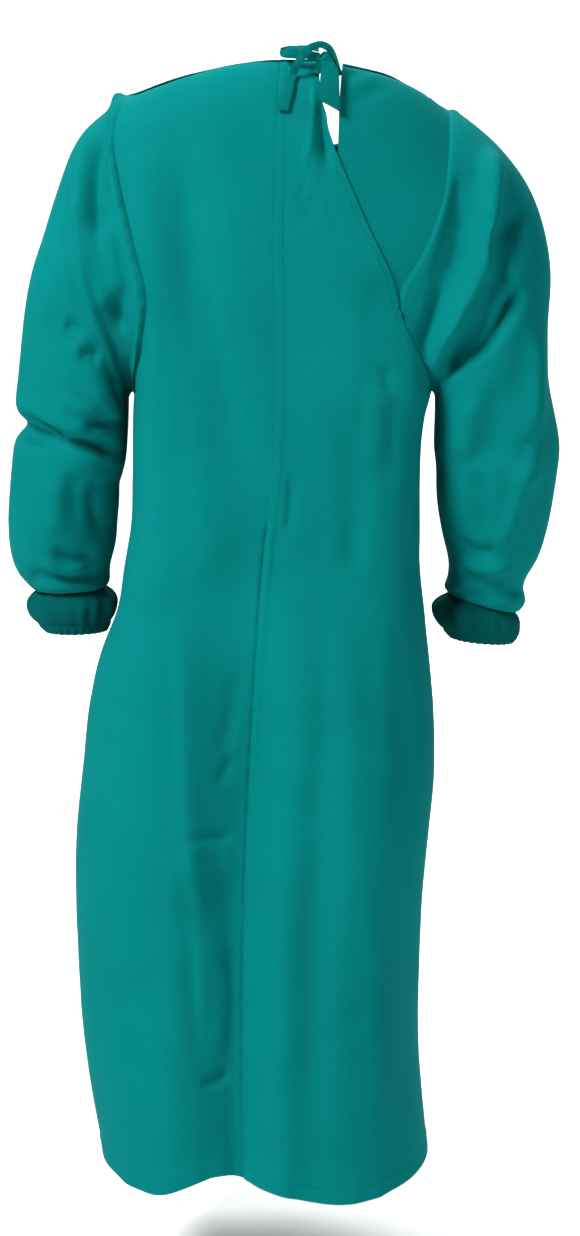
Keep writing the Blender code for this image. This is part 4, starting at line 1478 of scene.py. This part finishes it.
LEFT_SLEEVE_RINGS: tuple[Ring, ...] = (
    Ring(-0.177, -0.036, -0.169, -0.356, 0.000, 0.104),
    Ring(-0.198, -0.052, -0.174, -0.358, 0.000, 0.102),
    Ring(-0.2285, -0.081, -0.178, -0.364, -0.001, 0.098),
    Ring(-0.2485, -0.128, -0.1785, -0.376, -0.002, 0.093),
    Ring(-0.2665, -0.183, -0.1785, -0.390, -0.003, 0.088),
    Ring(-0.2835, -0.235, -0.179, -0.404, -0.004, 0.084),
    Ring(-0.292, -0.290, -0.180, -0.420, -0.004, 0.080),
    Ring(-0.2975, -0.340, -0.182, -0.434, -0.003, 0.077),
    Ring(-0.3005, -0.370, -0.184, -0.441, 0.000, 0.074),
    Ring(-0.2870, -0.389, -0.186, -0.448, 0.002, 0.070),
    Ring(-0.3030, -0.407, -0.189, -0.456, 0.004, 0.072),
    Ring(-0.3080, -0.445, -0.190, -0.474, 0.008, 0.070),
    Ring(-0.3130, -0.490, -0.1925, -0.500, 0.017, 0.066),
    Ring(-0.3135, -0.528, -0.196, -0.528, 0.026, 0.060),
    Ring(-0.3070, -0.556, -0.203, -0.553, 0.034, 0.054),
    Ring(-0.2945, -0.573, -0.203, -0.568, 0.038, 0.051),
    Ring(-0.286, -0.581, -0.208, -0.577, 0.042, 0.043),
    Ring(-0.278, -0.578, -0.213, -0.575, 0.043, 0.036),
)
RIGHT_SLEEVE_RINGS: tuple[Ring, ...] = (
    Ring(0.171, -0.052, 0.152, -0.356, 0.000, 0.104),
    Ring(0.192, -0.061, 0.157, -0.357, 0.000, 0.102),
    Ring(0.227, -0.092, 0.1600, -0.362, -0.001, 0.098),
    Ring(0.2555, -0.128, 0.1600, -0.372, -0.002, 0.093),
    Ring(0.2740, -0.172, 0.1595, -0.385, -0.003, 0.088),
    Ring(0.2835, -0.225, 0.159, -0.399, -0.004, 0.084),
    Ring(0.281, -0.280, 0.159, -0.415, -0.004, 0.080),
    Ring(0.282, -0.335, 0.161, -0.430, -0.002, 0.076),
    Ring(0.290, -0.375, 0.162, -0.445, 0.002, 0.073),
    Ring(0.2975, -0.415, 0.162, -0.460, 0.005, 0.071),
    Ring(0.294, -0.455, 0.164, -0.482, 0.010, 0.067),
    Ring(0.288, -0.500, 0.170, -0.512, 0.018, 0.062),
    Ring(0.278, -0.540, 0.178, -0.545, 0.026, 0.057),
    Ring(0.2615, -0.572, 0.1775, -0.566, 0.033, 0.052),
    Ring(0.2655, -0.592, 0.174, -0.576, 0.036, 0.050),
    Ring(0.258, -0.604, 0.179, -0.583, 0.037, 0.044),
    Ring(0.250, -0.602, 0.185, -0.5825, 0.038, 0.037),
)
LEFT_CUFF_RINGS: tuple[Ring, ...] = (
    Ring(-0.278, -0.578, -0.213, -0.575, 0.043, 0.036),
    Ring(-0.288, -0.586, -0.202, -0.583, 0.043, 0.044),
    Ring(-0.294, -0.596, -0.1965, -0.592, 0.043, 0.047),
    Ring(-0.293, -0.607, -0.1975, -0.604, 0.043, 0.046),
    Ring(-0.286, -0.618, -0.202, -0.616, 0.043, 0.041),
    Ring(-0.276, -0.628, -0.207, -0.627, 0.043, 0.035),
)
RIGHT_CUFF_RINGS: tuple[Ring, ...] = (
    Ring(0.250, -0.602, 0.185, -0.5825, 0.038, 0.037),
    Ring(0.2575, -0.611, 0.168, -0.590, 0.038, 0.043),
    Ring(0.2595, -0.616, 0.161, -0.598, 0.038, 0.046),
    Ring(0.2595, -0.625, 0.163, -0.611, 0.038, 0.045),
    Ring(0.2580, -0.633, 0.172, -0.624, 0.038, 0.041),
    Ring(0.252, -0.640, 0.181, -0.634, 0.038, 0.035),
)


@dataclass
class CuffForm(Tube):
    """A cuff gathered between the sleeve's roll and the wrist."""

    seed: float = 0.0
    rows: int = 46
    ripple: float = 0.0034
    gather_pitch: float = 0.022
    casing: float = 0.20
    casing_depth: float = 0.0011
    blend: float = 0.22

    def work(self, turns: np.ndarray, start: np.ndarray) -> tuple[np.ndarray, np.ndarray]:
        """Lays the cuff's cloth with its gathers.

        Args:
            turns: the turns round the cuff at which its columns stand.
            start: the sleeve's last row, which the cuff is sewn to.

        Returns:
            The cuff's grid and its normals.
        """
        pull = start - self.ring_points(turns, 0.0)
        shares = np.linspace(0.0, 1.0, self.rows + 1)
        grid = np.array([self.ring_points(turns, along)
                         + max(0.0, 1 - along / self.blend) ** 2 * pull for along in shares])
        normal = grid_normals(grid, self.outward, closed=True)
        length = run_length(grid[self.rows // 2])[None, :]
        along = shares[:, None]
        whole = length[0, -1]
        turn = length / whole
        gathers = round(whole / self.gather_pitch)
        wave = np.sin(2 * math.pi * gathers * turn + self.seed
                      + 1.7 * np.sin(2 * math.pi * 3 * turn + self.seed))
        wave = 0.6 * wave + 0.4 * np.sin(2 * math.pi * (gathers // 2) * turn + 2 * self.seed)
        drift = np.sin(2 * math.pi * (2 * turn + 0.4 * along) + self.seed)
        swell = np.sin(math.pi * np.clip(along / 0.9, 0.0, 1.0)) ** 0.7
        push = self.ripple * wave * (0.55 + 0.45 * drift) * swell
        channel = np.exp(-((along - (1 - self.casing)) / 0.035) ** 2)
        push -= self.casing_depth * channel
        fine = np.sin(2 * math.pi * 2 * gathers * turn + self.seed)
        push += 0.0005 * fine * smooth_step((along - (1 - self.casing)) / 0.1)
        push *= smooth_step(along / 0.08)
        return grid + normal * push[..., None], normal


@dataclass
class Binding:
    """A bias tape folded over a neck edge: up the outside, over it and down the inside."""

    side: Side
    width: float = 0.0090
    half_gap: float = 0.0010
    swell: float = 0.0008
    across: int = 11

    def work(self, edge: np.ndarray, below: np.ndarray) -> tuple[np.ndarray, np.ndarray]:
        """Folds the tape over an edge.

        Args:
            edge: the panel's top edge.
            below: a row of the panel under it, for the cloth's slope.

        Returns:
            The tape's grid, from its outer hem to its inner one, and its outward directions.
        """
        slope = unit(edge - below)
        for _ in range(6):
            slope[1:-1] = unit(slope[:-2] + 2 * slope[1:-1] + slope[2:])
        out = unit(np.cross(slope, np.gradient(edge, axis=0)))
        if (out[:, 1] * self.side.value).mean() < 0:
            out = -out
        length = run_length(edge)
        drift = 1 + 0.25 * uneven(length, 0.045, 0.8)
        rows, turned = [], []
        down = np.linspace(1.0, 0.0, self.across)
        for share in down:
            bulge = self.half_gap + self.swell * math.sin(math.pi * min(share * 1.15, 1.0))
            rows.append(edge - slope * self.width * share + out * (bulge * drift)[:, None])
            turned.append(out)
        for angle in (30, 60, 90, 120, 150):
            lean = math.cos(math.radians(angle)) * out + math.sin(math.radians(angle)) * slope
            rows.append(edge + lean * (self.half_gap + 0.0004))
            turned.append(lean)
        for share in down[::-1]:
            rows.append(edge - slope * self.width * share - out * self.half_gap)
            turned.append(-out)
        return np.array(rows), np.array(turned)


@dataclass
class Tape:
    """A flat folded tape that runs along a smooth route."""

    route: Sequence[tuple[np.ndarray, np.ndarray]]
    steps: int = 12
    across: int = 8
    crown: float = 0.0006
    curl: float = 0.0003

    def work(self) -> tuple[np.ndarray, np.ndarray]:
        """Lays the tape.

        Returns:
            Its grid, one row for each place along it, and the directions of its face.
        """
        stops = np.arange(len(self.route))
        fine = np.linspace(0, len(self.route) - 1, self.steps * (len(self.route) - 1) + 1)
        middle, aside = [np.stack([glide(stops, [stop[part][k] for stop in self.route], fine)
                                   for k in range(3)], -1) for part in (0, 1)]
        run = unit(np.gradient(middle, axis=0))
        face = unit(np.cross(run, aside))
        if face[:, 1].mean() > 0:
            face = -face
        share = np.linspace(-1.0, 1.0, self.across + 1)
        length = run_length(middle)[:, None]
        crown = self.crown * (1 - share ** 2)[None, :] * (1 + 0.4 * uneven(length, 0.017, 0.6))
        curl = self.curl * uneven(length + 0.004 * share[None, :], 0.011, 1.9)
        grid = (middle[:, None] + share[None, :, None] * aside[:, None]
                + face[:, None] * (crown + curl)[..., None])
        return grid, np.repeat(face[:, None], len(share), axis=1)


@dataclass
class Bow:
    """The neck bow: two ties, their knot, the one loop and the free ends."""

    form: BodyForm
    seams: Seams
    knot_centre: tuple[float, float, float] = (0.0368, -0.0950, -0.0015)
    core_size: tuple[float, float, float] = (0.006364, 0.004472, 0.006880)
    wrap_size: tuple[float, float, float] = (0.0050, 0.0038, 0.0078)
    knot_dents: tuple[float, float] = (0.0003, 0.0002)
    lift: float = 0.0045
    wall: float = 0.0012

    def on_back(self, x: float, z: float, more: float = 0.0) -> np.ndarray:
        """Finds the point of the back's cloth at x and z, raised by the tie's lift.

        Args:
            x: the place across.
            z: the height.
            more: how much further out it is.

        Returns:
            The point.
        """
        low, high = 0.3, 1.0
        shares = np.linspace(0.0, 1.0, self.form.fine)
        for _ in range(14):
            row = (low + high) / 2
            curve = self.form.row_curve(Side.BACK, row)
            place = float(np.interp(x, curve[:, 0], shares))
            if np.interp(x, curve[:, 0], curve[:, 2]) < z:
                low = row
            else:
                high = row
        spot = [self.form.points(Side.BACK, np.array([place + step]), at)[0]
                for step, at in ((0, row), (0.01, row), (0, row - 0.01))]
        out = unit(np.cross(spot[1] - spot[0], spot[2] - spot[0]))
        out = out if out[1] < 0 else -out
        over = float(self.seams.flap_lift(self.form, np.array([place]), row)[0])
        return spot[0] + out * (self.lift + more + over)

    def under_tie(self) -> Tape:
        """Lays the right back's tie: up from its corner, over the knot, down the left back.

        Returns:
            The tape.
        """
        hang = ((0.0025, -0.0210, 0.0040), (-0.0015, -0.0380, 0.0042),
                (-0.0080, -0.0560, 0.0060))
        return Tape([
            (np.array([0.0530, -0.0915, -0.0190]), np.array([0.0015, -0.0040, 0.0005])),
            (np.array([0.0495, -0.0935, -0.0090]), np.array([0.0015, -0.0040, 0.0008])),
            (np.array([0.0450, -0.0965, 0.0020]), np.array([0.0020, -0.0032, 0.0018])),
            (np.array([0.0395, -0.1015, 0.0090]), np.array([0.0018, -0.0015, 0.0030])),
            (np.array([0.0310, -0.1040, 0.0120]), np.array([0.0002, -0.0012, 0.0034])),
            (np.array([0.0215, -0.1060, 0.0090]), np.array([-0.0020, -0.0006, 0.0028])),
            (np.array([0.0140, -0.1075, 0.0020]), np.array([-0.0032, -0.0004, 0.0020])),
            (np.array([0.0080, -0.1080, -0.0080]), np.array([-0.0038, 0.0000, 0.0012])),
        ] + [(self.on_back(x, z), np.array([-half, 0.0004, 0.0006])) for x, z, half in hang])

    def flap_tie(self) -> Tape:
        """Lays the flap's tie, from the flap's corner up to the knot.

        Returns:
            The tape.
        """
        return Tape([
            (self.on_back(0.0262, -0.0200), np.array([0.0044, 0.0000, -0.0004])),
            (np.array([0.0290, -0.0965, -0.0120]), np.array([0.0044, 0.0000, -0.0010])),
            (np.array([0.0325, -0.0980, -0.0050]), np.array([0.0040, 0.0000, -0.0016])),
        ])

    def loop(self) -> Tape:
        """Lays the bow's one loop, out to the left in front and back behind.

        Returns:
            The tape.
        """
        route = ((0.0310, -0.0985, 0.0000, 0.0036), (0.0180, -0.1005, 0.0016, 0.0042),
                 (0.0040, -0.1005, 0.0022, 0.0044), (-0.0060, -0.0975, 0.0030, 0.0042),
                 (-0.0095, -0.0925, 0.0050, 0.0036), (-0.0050, -0.0880, 0.0082, 0.0026),
                 (0.0060, -0.0865, 0.0096, 0.0020), (0.0180, -0.0870, 0.0098, 0.0020),
                 (0.0300, -0.0890, 0.0080, 0.0026))
        return Tape([(np.array([x, y, z]), np.array([0.0, 0.0044 - half, half]))
                     for x, y, z, half in route], steps=9)

    def right_end(self) -> Tape:
        """Lays the free end that hangs over the keyhole, cut on a slant.

        Returns:
            The tape.
        """
        return Tape([
            (np.array([0.0380, -0.0990, -0.0040]), np.array([0.0050, 0.0000, 0.0010])),
            (self.on_back(0.0396, -0.0200, 0.0034), np.array([0.0092, 0.0000, 0.0002])),
            (self.on_back(0.0398, -0.0380, 0.0034), np.array([0.0104, 0.0006, -0.0030])),
            (self.on_back(0.0396, -0.0530, 0.0034), np.array([0.0110, 0.0012, -0.0060])),
        ])

    def knot(self, finish: bpy.types.Material) -> bpy.types.Object:
        """The knot: a rounded core with the tape wrapped twice about it.

        Args:
            finish: the tape's material.

        Returns:
            The knot, as one mesh.
        """
        middle = self.knot_centre
        wide, deep, tall = self.wrap_size
        bpy.ops.object.select_all(action="DESELECT")
        bpy.ops.mesh.primitive_uv_sphere_add(segments=32, ring_count=20, radius=1.0)
        core = bpy.context.active_object
        with editing():
            bpy.ops.transform.resize(value=self.core_size)
            bpy.ops.transform.translate(value=middle)
        wraps = [core]
        for turn, size, aside in ((0.45, 1.25, -0.0010), (-0.30, 1.15, 0.0016)):
            bpy.ops.object.select_all(action="DESELECT")
            bpy.ops.mesh.primitive_torus_add(major_segments=40, minor_segments=12,
                                             major_radius=1.0, minor_radius=0.30)
            wraps.append(bpy.context.active_object)
            with editing():
                bpy.ops.transform.resize(value=(wide * size, deep * size, tall))
                bpy.ops.transform.rotate(value=turn, orient_axis="Y", center_override=(0, 0, 0))
                bpy.ops.transform.translate(value=(middle[0] + aside, middle[1], middle[2]))
        bpy.ops.object.select_all(action="DESELECT")
        for wrap in wraps:
            wrap.select_set(True)
        bpy.context.view_layer.objects.active = core
        bpy.ops.object.join()
        core.name = core.data.name = "bow_knot"
        self.crumple(core)
        core.data.materials.clear()
        core.data.materials.append(finish)
        with editing():
            bpy.ops.mesh.normals_make_consistent(inside=False)
        bpy.ops.object.shade_smooth()
        return core

    def crumple(self, core: bpy.types.Object) -> None:
        """Presses small unevenness into the knot, as pulled tape has.

        Args:
            core: the knot.
        """
        places = np.empty(len(core.data.vertices) * 3)
        core.data.vertices.foreach_get("co", places)
        places = places.reshape(-1, 3)
        out = unit(places - np.array(self.knot_centre))
        push = self.knot_dents[0] * uneven(places[:, 0] + places[:, 2], 0.0043, 0.3)
        push += self.knot_dents[1] * uneven(places[:, 2] - places[:, 1], 0.0029, 1.3)
        core.data.vertices.foreach_set("co", (places + out * push[:, None]).ravel())
        core.data.update()


@dataclass
class Gown:
    """The whole gown: its panels, sleeves, cuffs, bindings, bow and stitching."""

    wardrobe: Wardrobe = field(default_factory=Wardrobe)
    form: BodyForm = field(default_factory=BodyForm)
    seams: Seams = field(default_factory=Seams)
    allowance: float = 0.012
    binding_allowance: float = 0.002
    binding_wall: float = 0.0008
    tie_allowance: float = 0.001
    stitch_inset: float = 0.0085
    hem_row: int = -5
    unsewn_rows: int = 3

    def __post_init__(self) -> None:
        """Lays the body's cloth, which everything else is sewn to."""
        self.body = BodyCloth(self.form, self.seams)
        self.body.work()

    def add_sheet(self, node: str, fabric: Fabric, finish: ClothFinish,
                  spare: float | None = None) -> bpy.types.Object:
        """Builds and declares a sheet.

        Args:
            node: the solid it stands for.
            fabric: its cloth.
            finish: its finish.
            spare: the seam allowance all round, or None for the usual one; not used.

        Returns:
            The sheet.
        """
        spare = self.allowance if spare is None else spare
        piece = fabric.build(self.wardrobe.get(finish))
        declare(piece, node)
        across, down = run_across(fabric.grid), run_up(fabric.grid)
        return piece

    def add_panels(self) -> None:
        """The four body panels."""
        hung = {"back_left_panel": ("neck_binding_left", "front_panel"),
                "back_flap": ("neck_binding_left", "back_left_panel", "back_right_panel"),
                "back_right_panel": ("neck_binding_right", "front_panel"),
                "front_panel": ("neck_binding_front", "back_left_panel", "back_right_panel")}
        for node, rests_on in hung.items():
            fabric = Fabric("cloth_" + node, self.body.grids[node], self.body.normals[node])
            self.add_sheet(node, fabric, self.wardrobe.gown)

    def add_sleeves(self) -> None:
        """Both sleeves, with a cuff gathered to each."""
        parts = ((Arm.LEFT, LEFT_SLEEVE_RINGS, LEFT_CUFF_RINGS, LEFT_SLEEVE_CREASES,
                  0.0062, 0.7),
                 (Arm.RIGHT, RIGHT_SLEEVE_RINGS, RIGHT_CUFF_RINGS, RIGHT_SLEEVE_CREASES,
                  0.0020, 2.9))
        for arm, rings, cuff_rings, creases, ridge, seed in parts:
            sleeve = SleeveForm(rings, arm=arm, creases=creases, ridge=ridge)
            grid, normal = sleeve.work(self.body)
            node = "sleeve_" + arm.word
            self.add_sheet(node, Fabric("cloth_" + node, grid, normal, closed=True),
                           self.wardrobe.gown)
            self.stitch("armhole_stitches_" + arm.word, grid[2], normal[2])
            cuff = CuffForm(cuff_rings, seed=seed)
            lower, facing = cuff.work(sleeve.turns(self.body), grid[-1])
            self.add_sheet("cuff_" + arm.word,
                           Fabric("cloth_cuff_" + arm.word, lower, facing, closed=True),
                           self.wardrobe.cuff)

    def add_bindings(self) -> None:
        """The folded tape round the neck, in its three lengths."""
        grids = self.body.grids
        seam = self.body.shoulder
        back = np.concatenate([grids["back_left_panel"][:, seam:-1], grids["back_flap"]], axis=1)
        lengths = (("neck_binding_left", Side.BACK, back, "back_left_panel"),
                   ("neck_binding_right", Side.BACK, grids["back_right_panel"][:, :-seam],
                    "back_right_panel"),
                   ("neck_binding_front", Side.FRONT, grids["front_panel"][:, seam:-seam],
                    "front_panel"))
        for node, side, panel, rest in lengths:
            binding = Binding(side)
            grid, out = binding.work(panel[0], panel[2])
            self.add_sheet(node, Fabric("folded_" + node, grid, out, wall=self.binding_wall),
                           self.wardrobe.tape, self.binding_allowance)
            self.stitch(node + "_stitches", grid[2], out[2])

    def add_bow(self) -> None:
        """The ties and the knot."""
        bow = Bow(self.form, self.seams)
        tapes = {"tie_under": bow.under_tie(), "tie_flap": bow.flap_tie(),
                 "tie_loop": bow.loop(), "tie_end_right": bow.right_end()}
        for node, tape in tapes.items():
            grid, face = tape.work()
            self.add_sheet(node, Fabric("folded_" + node, grid, face, wall=bow.wall),
                           self.wardrobe.tape, self.tie_allowance)
        knot = bow.knot(self.wardrobe.get(self.wardrobe.tape))
        declare(knot, "tie_knot")
        LOG.info("%s: %d faces", knot.name, len(knot.data.polygons))

    def stitch(self, name: str, line: np.ndarray, normal: np.ndarray) -> None:
        """Sews one row of stitches along a line on the cloth.

        Args:
            name: what the row is called.
            line: points of the line.
            normal: which way is out at each point.
        """
        row = StitchLine(name, line, normal)
        piece = row.build(self.wardrobe.get(self.wardrobe.thread), "gown_cloth")
        LOG.info("%s: %d faces", piece.name, len(piece.data.polygons))

    def add_stitching(self) -> None:
        """The stitch lines of the hems, the centre seam and the flap's edge."""
        grids, normals = self.body.grids, self.body.normals
        for node in ("back_left_panel", "back_flap", "front_panel"):
            self.stitch("hem_stitches_" + node, grids[node][self.hem_row],
                        normals[node][self.hem_row])
        grid, normal = grids["back_flap"], normals["back_flap"]
        across = run_across(grid)
        for name, away, lengths in (
                ("seam_stitches", self.stitch_inset, across),
                ("edge_stitches", -self.stitch_inset, across - across[:, -1:])):
            line, facing = [np.array([follow(away, *row) for row in zip(lengths, points)])
                            for points in (grid, normal)]
            self.stitch(name, line[self.unsewn_rows:], facing[self.unsewn_rows:])


class Lamp(NamedTuple):
    """A square light: its place, the length of its side, its watts, aim and beam angle."""

    name: str
    place: tuple[float, float, float]
    size: float
    power: float
    aim: tuple[float, float, float] = (0.0, 0.0, -0.55)
    spread: float = 180.0


LAMPS: tuple[Lamp, ...] = (
    Lamp("key", (-2.4, -2.4, 2.3), 1.3, 122.0, spread=120.0),
    Lamp("fill", (2.7, -1.7, 0.9), 1.5, 26.0),
    Lamp("floor_light", (0.6, 2.8, 3.4), 5.0, 390.0, (0.6, 1.6, -1.36)),
    Lamp("wall_light", (0.0, 3.2, 1.6), 4.0, 230.0, (0.0, 7.5, 0.8)),
)


@dataclass
class Studio:
    """A pale floor that sweeps up behind, soft lights and the camera."""

    floor_height: float = -1.36
    floor_size: tuple[float, float] = (16.0, 12.0)
    rise: tuple[tuple[float, float], ...] = (
        (0.9, 0.15), (0.7, 0.5), (0.4, 0.9), (0.15, 1.3), (0.0, 6.0))
    floor_colour: tuple[float, float, float] = (0.94, 0.945, 0.95)
    lens: float = 74.1
    pitch: float = 9.27
    eye: tuple[float, float, float] = (0.0, -2.8, -0.15)
    world: float = 0.10

    def sweep(self) -> None:
        """The floor, with its far edge drawn up into a backdrop."""
        bpy.ops.object.select_all(action="DESELECT")
        bpy.ops.mesh.primitive_plane_add(size=1.0)
        floor = bpy.context.active_object
        floor.name = "studio_floor"
        with editing():
            bpy.ops.transform.resize(value=(*self.floor_size, 1.0))
            bpy.ops.transform.translate(value=(0.0, 0.0, self.floor_height))
            bpy.ops.mesh.select_mode(type="EDGE")
            bpy.ops.mesh.select_all(action="DESELECT")
        far = 0.49 * self.floor_size[1]
        for edge in floor.data.edges:
            edge.select = all(floor.data.vertices[k].co.y > far for k in edge.vertices)
        with editing(everything=False):
            for forward, up in self.rise:
                bpy.ops.mesh.extrude_edges_move(
                    TRANSFORM_OT_translate={"value": (0.0, forward, up)})
        floor.data.materials.append(
            PlainFinish("studio_paper", self.floor_colour, 0.95).build())
        bpy.ops.object.shade_smooth()

    def light(self, lamp: Lamp) -> None:
        """Adds one soft square light.

        Args:
            lamp: what it is and where it points.
        """
        data = bpy.data.lights.new(lamp.name, "AREA")
        data.size, data.energy, data.spread = lamp.size, lamp.power, math.radians(lamp.spread)
        holder = bpy.data.objects.new(lamp.name, data)
        bpy.context.scene.collection.objects.link(holder)
        towards = np.array(lamp.aim) - np.array(lamp.place)
        yaw = math.atan2(towards[1], towards[0]) - math.pi / 2
        tilt = math.atan2(towards[2], math.hypot(towards[0], towards[1])) + math.pi / 2
        holder.location = lamp.place
        holder.rotation_euler = (tilt, 0.0, yaw)
        holder.visible_camera = False

    def surround(self) -> None:
        """A pale, even world, and colours shown as they are."""
        world = bpy.data.worlds.new("studio_air")
        world.use_nodes = True
        NodeBoard(world.node_tree).fill(world.node_tree.nodes["Background"],
                                        {"Color": (1.0, 1.0, 1.0, 1.0), "Strength": self.world})
        bpy.context.scene.world = world
        bpy.context.scene.view_settings.view_transform = "Standard"

    def camera(self) -> None:
        """The camera, behind the wearer and a little above the middle."""
        seen = bpy.data.cameras.new("studio_camera")
        seen.sensor_width = 36.0
        seen.sensor_fit = "AUTO"
        seen.lens = self.lens
        holder = bpy.data.objects.new("studio_camera", seen)
        bpy.context.scene.collection.objects.link(holder)
        holder.location = self.eye
        holder.rotation_euler = (math.radians(90 - self.pitch), 0.0, 0.0)
        bpy.context.scene.camera = holder

    def build(self) -> None:
        """Sets the whole studio up."""
        self.camera()
        self.surround()
        self.sweep()
        for lamp in LAMPS:
            self.light(lamp)


def main() -> None:
    """Builds the studio and the gown, piece by piece."""
    logging.basicConfig(level=logging.INFO, format="%(name)s %(message)s")
    Studio().build()
    gown = Gown()
    gown.add_panels()
    gown.add_sleeves()
    gown.add_bindings()
    gown.add_bow()
    gown.add_stitching()


if __name__ == "__main__":
    main()
